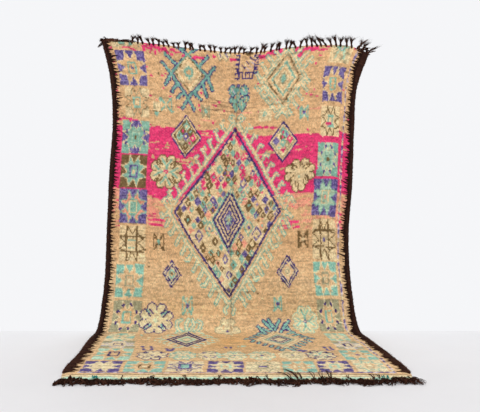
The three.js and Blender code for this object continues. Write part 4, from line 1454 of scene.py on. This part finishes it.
    # Stray hairs stand off the wound edge.
    starts = random.uniform(0.003, WRAP_END - 0.004, STRAY_HAIRS)
    t = np.linspace(0, 1, 4)
    outwards = random.uniform(0.003, 0.010, (STRAY_HAIRS, 1))
    inset = np.interp(starts, down, centre - wide)[:, None] + 0.003 - outwards * t
    height = 0.006 + random.uniform(-0.004, 0.006, (STRAY_HAIRS, 1)) * (0.5 + t)
    place = starts[:, None] + random.uniform(-0.008, 0.008, (STRAY_HAIRS, 1)) * t ** 2
    path = on_cloth(from_side(inset), np.clip(place, 0.002, LENGTH), np.maximum(height, 0.0006))
    hairs = strands(path, 0.0004 * (1 - 0.7 * t)[None] * np.ones((STRAY_HAIRS, 1)))
    parts.append(hairs)
    tones.append(np.repeat(HAIR_LIGHT[None], len(hairs[1]), 0))
    return joined(name, parts, tones)


selvedge_left = selvedge(1, "selvedge_wrap_left")
selvedge_right = selvedge(2, "selvedge_wrap_right")

# The top fringe

# The tassels' number, their places across from -1 to 1, and their shape, as in the solids.
TASSELS = 48
TASSEL_FIRST, TASSEL_LAST = -0.8, 0.985
TASSEL_RADIUS = 0.005
TASSEL_SPREAD = 0.009
TASSEL_FORK = 0.55
# Rows of: a place across, a tassel's height and its lean.
TASSEL_TABLE = np.array(
    [
        (-0.8, 0.046, 0.0), (-0.7, 0.038, -0.008), (-0.3, 0.038, -0.006), (0.1, 0.040, 0.008),
        (0.35, 0.044, 0.012), (0.55, 0.050, -0.012), (0.72, 0.054, -0.030), (0.79, 0.066, 0.002),
        (0.88, 0.072, 0.014), (0.95, 0.052, 0.046), (1.0, 0.034, 0.062),
    ]
)
# Some neighbours bend their tips together, given by number and sideways reach.
BENT = {5: 0.014, 6: -0.014, 14: 0.012, 15: -0.014, 33: -0.012, 34: 0.010}
# Each half of a tassel: its yarn, and the loose hairs that frizz out beyond it.
YARN = {"count": 14, "steps": 7, "radius": 0.0042, "thick": 0.0020, "spread": 1.1}
LOOSE = {"count": 18, "steps": 8, "radius": 0.0050, "thick": 0.0010, "spread": 2.8}
# The same for a bunch, whose radius and number of strands are its own.
BUNCH_YARN = {"steps": 9, "thick": 0.0019, "spread": 0.1, "frizz": 0.0018, "twist": 2.5}
BUNCH_LOOSE = {"count": 14, "steps": 10, "thick": 0.0008, "spread": 0.4, "frizz": 0.0045}
# Bunches at the two corners, and one small one: where each starts and stops, its radius, how far it
# rises and drops, and how many strands it has.
BUNCHES = (
    (-0.985, -0.86, 0.0150, 0.012, 0.0, 72), (-0.89, -0.74, 0.0120, 0.010, 0.0, 56),
    (0.06, 0.13, 0.0075, 0.010, 0.0, 34), (-0.93, -1.02, 0.0095, 0.016, 0.012, 44),
    (-0.96, -1.03, 0.0100, 0.006, 0.044, 48), (-0.99, -1.015, 0.0070, 0.020, 0.010, 30),
    (-0.965, -0.995, 0.0030, 0.026, -0.010, 8), (0.90, 1.02, 0.0085, 0.016, -0.014, 44),
    (0.93, 1.01, 0.0090, 0.024, -0.026, 46), (0.985, 1.055, 0.0064, 0.012, -0.014, 32),
    (0.97, 1.01, 0.0085, 0.004, 0.006, 36), (0.95, 0.985, 0.0085, 0.026, -0.020, 34),
    (0.985, 0.99, 0.0080, 0.030, -0.016, 30), (0.91, 0.955, 0.0065, 0.028, -0.014, 26),
)


def over_heading(across, rise):
    """A point over the top edge, as in the solids: a share across the rug and a rise above it."""
    left, right = side(1, 0.0), side(2, 0.0)
    inside = np.clip(across, -1, 1)
    point = drape(left + (right - left) * (inside + 1) / 2, HEADING / 2, THICKNESS / 2) + SHIFT
    point[..., 0] += (right - left) * (across - inside) / 2
    point[..., 2] += rise
    return point


def eased(knots, t):
    """A smooth path through a few points: knots is (points, 3)."""
    table = np.column_stack([np.linspace(0, 1, len(knots)), knots])
    return np.stack([smooth(table, c, t) for c in (1, 2, 3)], -1)


def hair_bundle(random, centre, count, steps, radius, thick, spread, frizz, twist=1.5):
    """Strands round a path: twisted together at the root, loose and frizzy at the tip."""
    t = np.linspace(0, 1, steps)
    turn = random.uniform(0, 2 * math.pi, count)[:, None] + twist * math.pi * t[None]
    away = radius * (0.55 + 0.45 * random.random((count, 1))) * (1 + spread * t[None] ** 2)
    rises = abs(centre[-1][2] - centre[0][2]) > abs(centre[-1][1] - centre[0][1])
    across, up = np.array([1.0, 0.0, 0.0]), np.array([0.0, -1.0, 0.0] if rises else [0.0, 0.0, 1.0])
    path = eased(centre, t)[None] + across * (away * np.cos(turn))[..., None]
    path = path + up * (away * np.sin(turn))[..., None]
    path = path + random.normal(0, 1, (count, steps, 3)) * frizz * (t[None, :, None] ** 1.3)
    # Each strand stops short at a length of its own.
    for strand, length in zip(path, random.uniform(0.72, 1.0, count)):
        strand[:] = np.stack([np.interp(t * length, t, column) for column in strand.T], -1)
    radii = thick * (1 - 0.75 * t[None] ** 1.5) * random.uniform(0.7, 1.2, (count, 1))
    return strands(path, radii)


def tone_of(random, part):
    """A shade of dark brown for each face of a bundle."""
    share = np.clip(random.normal(0.30, 0.28), 0, 0.95)
    return np.repeat((HAIR * 1.10 * (1 - share) + HAIR_LIGHT * share)[None], len(part[1]), 0)


def top_fringe():
    """The knotted, forked tassels over the top edge, and the bunches at its corners."""
    random = np.random.default_rng(201)
    parts = []
    for n in range(1, TASSELS):
        share = (n + 0.3 * float(uneven(n, 2))) / (TASSELS - 1)
        across = min(TASSEL_FIRST + (TASSEL_LAST - TASSEL_FIRST) * share, TASSEL_LAST)
        height = float(smooth(TASSEL_TABLE, 1, across)) * (1.06 + 0.26 * float(uneven(n, 3)))
        lean = float(smooth(TASSEL_TABLE, 2, across)) + 0.019 * float(uneven(n, 4))
        bent = BENT.get(n, 0.0)
        wild = float(ramp(0.5, 0.9, across))
        root = over_heading(across, 0.0)
        knot = root + [lean * 0.18, -0.001, HEADING / 2 + height * 0.22]
        foot = root + [0, 0, -0.008]
        # The knot at the foot of the tassel is a fat turn of yarn.
        t = np.linspace(0, 1, 7)
        stem = eased([foot, (foot + knot) / 2, knot], t)
        fat = 0.0066 + 0.0020 * np.exp(-((t - 0.55) / 0.2) ** 2)
        parts.append(strands(stem[None], (fat * (1 - 0.3 * ramp(0.8, 1, t)))[None], 7))
        for end in (-1, 1):
            spread = TASSEL_SPREAD * (1 + 0.8 * float(uneven(n, 5 + end))) * (1 + 0.5 * wild)
            reach = 1 + 0.28 * float(uneven(n, 11 + end))
            aside = lean * TASSEL_FORK + end * TASSEL_RADIUS * 0.5 + bent * 0.3
            fork = root + [aside, 0, HEADING / 2 + height * TASSEL_FORK]
            aside = lean * (1 - TASSEL_FORK) + end * spread + bent
            forwards = -0.004 * float(uneven(n, 8 + end))
            tip = fork + [aside, forwards, height * (1 - TASSEL_FORK) * reach]
            path = [knot - [0, 0, 0.005], fork, tip]
            parts.append(hair_bundle(random, path, frizz=0.0026 + 0.0014 * wild, **YARN))
            path[2] = tip + (tip - fork) * 0.25
            parts.append(hair_bundle(random, path, frizz=0.0056 + 0.0028 * wild, **LOOSE))
    for start, stop, radius, rise, drop, count in BUNCHES:
        path = [
            over_heading(start, -0.002),
            over_heading((start * 2 + stop) / 3, rise),
            over_heading((start + stop * 2) / 3, rise - drop / 2),
            over_heading(stop, rise * 0.7 - drop),
        ]
        parts.append(hair_bundle(random, path, count=count, radius=radius, **BUNCH_YARN))
        parts.append(hair_bundle(random, path, radius=radius * 1.1, **BUNCH_LOOSE))
    return joined("fringe_tassels", parts, [tone_of(random, part) for part in parts])


# The front fringe

# Locks along the edge, steps along each strand, and strands in each clump of a lock.
LOCKS, LOCK_STEPS, CLUMP = 116, 10, 4
# Wisps that lie back over the cloth: place across, number, length and sideways lean.
WISPS_BACK = (
    (1.135, 3, 0.13, -0.045), (1.165, 4, 0.17, -0.050), (1.185, 3, 0.12, -0.030),
    (1.250, 2, 0.14, -0.012), (1.290, 3, 0.13, 0.006), (1.325, 3, 0.15, -0.008),
    (1.335, 2, 0.11, 0.012), (1.415, 2, 0.06, 0.004), (1.540, 3, 0.07, -0.020),
    (1.570, 3, 0.06, -0.012), (0.62, 3, 0.05, -0.010), (0.30, 2, 0.05, 0.008),
    (0.78, 3, 0.045, 0.012), (0.46, 2, 0.045, -0.006), (1.02, 2, 0.05, -0.006),
)
# Places of the few ends of blue-green wool, and its dye.
BLUE_WISPS = (0.163, 0.176, 1.590, 1.612)
BLUE_GREEN = linear((0.10, 0.55, 0.52))


def arch(t):
    """Rises from 0 to 1 and falls back to 0, and stays there."""
    return np.sin(math.pi * np.minimum(t, 1))


def front_fringe():
    """Tangled locks of loose hair, level on the floor, some of them back over the cloth."""
    random = np.random.default_rng(301)
    down = LENGTH - HEADING / 2
    left, right = float(side(1, down)), float(side(2, down))
    parts, tones = [], []
    t = np.linspace(0, 1, LOCK_STEPS)
    for n in range(LOCKS):
        across = 0.99 * (2 * n / (LOCKS - 1) - 1)
        root = drape(left + (right - left) * (across + 1) / 2, down, 0.004) + SHIFT
        length = 0.077 + 0.009 * math.sin(n / 5) + 0.007 * math.sin(n / 2.3)
        length += 0.009 * float(uneven(n, 21))
        fan = float(ramp(0.94, 1, abs(across)))
        sway = 0.014 * math.sin(n / 3.5) + 0.004 * float(uneven(n, 22))
        aside = sway * (1 - fan) + fan * (-0.020 if across < 0 else 0.030)
        crest = (0.0080 + 0.0040 * math.sin(n / 4.1)) * (1 + 0.35 * float(uneven(n, 23)))
        wiry = float(ramp(-0.1, 0.6, across))
        heaped = max(0.0, math.sin(n / 4.4 + 0.6) + 0.5 * math.sin(n / 1.9)) * (1 - fan)
        # Each lock is a few clumps of yarn, and each clump a few curled strands.
        for _ in range(3 + n % 2 + round(4 * fan)):
            end = length * random.uniform(0.55, 1.10)
            level = random.uniform(0.25, 1.0) * (1 + 0.5 * fan)
            curl = random.uniform(0.002, 0.0078)
            phase, rate = random.uniform(0, 2 * math.pi), random.uniform(4, 13)
            drift = random.uniform(-0.05, 0.05) * (1 - 0.85 * fan)
            x = root[0] + random.uniform(-0.010, 0.010) + aside * t ** 1.5 + drift * t ** 2.2
            back = random.uniform(0, 1) * 0.015 * heaped
            y = root[1] + back * arch(t * 2.2) - end * (1 - (1 - t) ** 1.7)
            hump = np.sin(math.pi * np.clip(t * 0.92 + 0.04, 0, 1)) ** 0.8
            z = crest * hump * level + 0.5 * back * arch(t * 2.0) + 0.002
            x, swirl = x + curl * np.sin(phase + rate * t), curl * np.cos(phase + rate * t)
            core = np.stack([x, y + 0.7 * swirl, z + 0.8 * swirl], -1)
            path = core[None] + random.normal(0, 0.0015 + 0.0006 * wiry, (CLUMP, 1, 3))
            stray = random.normal(0, 0.0009, (CLUMP, LOCK_STEPS, 3))
            path = path + stray * (0.4 + t[None, :, None])
            radii = (0.0022 - 0.0006 * wiry) * (1 - 0.5 * t[None] ** 2)
            radii = radii * random.uniform(0.75, 1.2, (CLUMP, 1))
            path[..., 2] = np.maximum(path[..., 2], radii * 1.02)
            parts.append(strands(path, radii))
            tones.append(tone_of(random, parts[-1]))
    # Wisps over the end bands, and a few ends of blue-green wool.
    blue_ends = tuple((place, 3, 0.03, 0.0) for place in BLUE_WISPS)
    for place, count, length, lean in WISPS_BACK + blue_ends:
        blue = place in BLUE_WISPS
        for _ in range(count):
            reach = length * random.uniform(0.75, 1.05)
            swing = lean * random.uniform(0.6, 1.3) + random.uniform(-0.006, 0.006)
            bow = random.uniform(-0.010, 0.010)
            s = place + random.uniform(-0.006, 0.006) + swing * t + bow * np.sin(math.pi * t)
            lift = 0.0125 + random.uniform(0.004, 0.010) * arch(t * 1.15)
            path = on_cloth(s, LENGTH - 0.004 - reach * t, lift)
            path[:2, 1] -= 0.006 * (1 - t[:2])
            radii = (0.0024 if blue else 0.0021) * (1 - 0.6 * t ** 2)
            parts.append(strands(path[None], radii[None]))
            if blue:
                tones.append(np.repeat(BLUE_GREEN[None], len(parts[-1][1]), 0))
            else:
                tones.append(tone_of(random, parts[-1]))
    return joined("fringe_locks", parts, tones)


fringe_tassels = top_fringe()
fringe_locks = front_fringe()

# What each piece stands for, and how the cloth is held.
for piece, slot, *nodes in (
    (rug_pile, "wool_pile", "rug"),
    (selvedge_left, "goat_hair", "selvedge_left"),
    (selvedge_right, "goat_hair", "selvedge_right"),
    (fringe_tassels, "fringe_yarn", "fringe_top"),
    (fringe_locks, "fringe_yarn", "fringe_front"),
):
    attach(piece, "root")
    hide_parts(*nodes)

# The stage: a pale floor, soft lights and a white surround

# Half the floor's width, its depth, and how far it lies under the rug.
FLOOR_HALF, FLOOR_DEPTH, FLOOR_DROP = 6, 8, 0.0005


def pale_floor():
    """A matt floor, a little uneven in shade."""
    mottle = noise(Socket.node("ShaderNodeTexCoord", out=3), 3.0, 2.0)
    return {
        "Base Color": mix((0.78, 0.775, 0.78, 1), (0.82, 0.815, 0.82, 1), mottle),
        "Roughness": 0.5 + mottle * 0.1,
    }


def stage_floor():
    """The floor that the rug lies on. It ends just behind the rug."""
    back, front = SHIFT[1], SHIFT[1] - FLOOR_DEPTH
    corners = ((-FLOOR_HALF, front), (FLOOR_HALF, front), (FLOOR_HALF, back), (-FLOOR_HALF, back))
    points = [(x, y, -FLOOR_DROP) for x, y in corners]
    matt = material("pale floor", pale_floor, roughness=0.5)
    filled("floor", points, [[0, 1, 2, 3]], [matt])


def area_light(name, place, target, size, power, colour=(1, 1, 1)):
    """A soft rectangular light, turned towards a target."""
    data = bpy.data.lights.new(name, "AREA")
    data.shape, data.energy, data.color = "RECTANGLE", power, colour
    data.size, data.size_y = size
    made = placed(name, data)
    made.location = place
    direction = Vector(np.subtract(target, place))
    made.rotation_euler = direction.to_track_quat("-Z", "Y").to_euler()


stage_floor()
area_light("key", (-1.6, -3.8, 2.8), (0, 0.3, 0.9), (2.6, 2.0), 13, (1.0, 0.985, 0.965))
area_light("fill", (2.4, -3.4, 1.8), (0, 0.4, 0.8), (2.4, 2.2), 7, (0.97, 0.985, 1.0))
area_light("low", (0.0, -5.2, 0.7), (0, 0.5, 0.45), (4.0, 1.1), 9)
area_light("top", (0.0, -1.5, 3.4), (0, -0.1, 0.0), (3.0, 1.6), 8)
area_light("back", (0.0, 4.5, 2.6), (0, 0.6, 1.0), (3.0, 2.2), 50)

world = bpy.data.worlds.new("surround")
bpy.context.scene.world = world
world.use_nodes = True
surround = world.node_tree.nodes["Background"].inputs
surround["Color"].default_value = (0.975, 0.98, 1.0, 1)
surround["Strength"].default_value = 0.94
bpy.context.scene.view_settings.view_transform = "Standard"
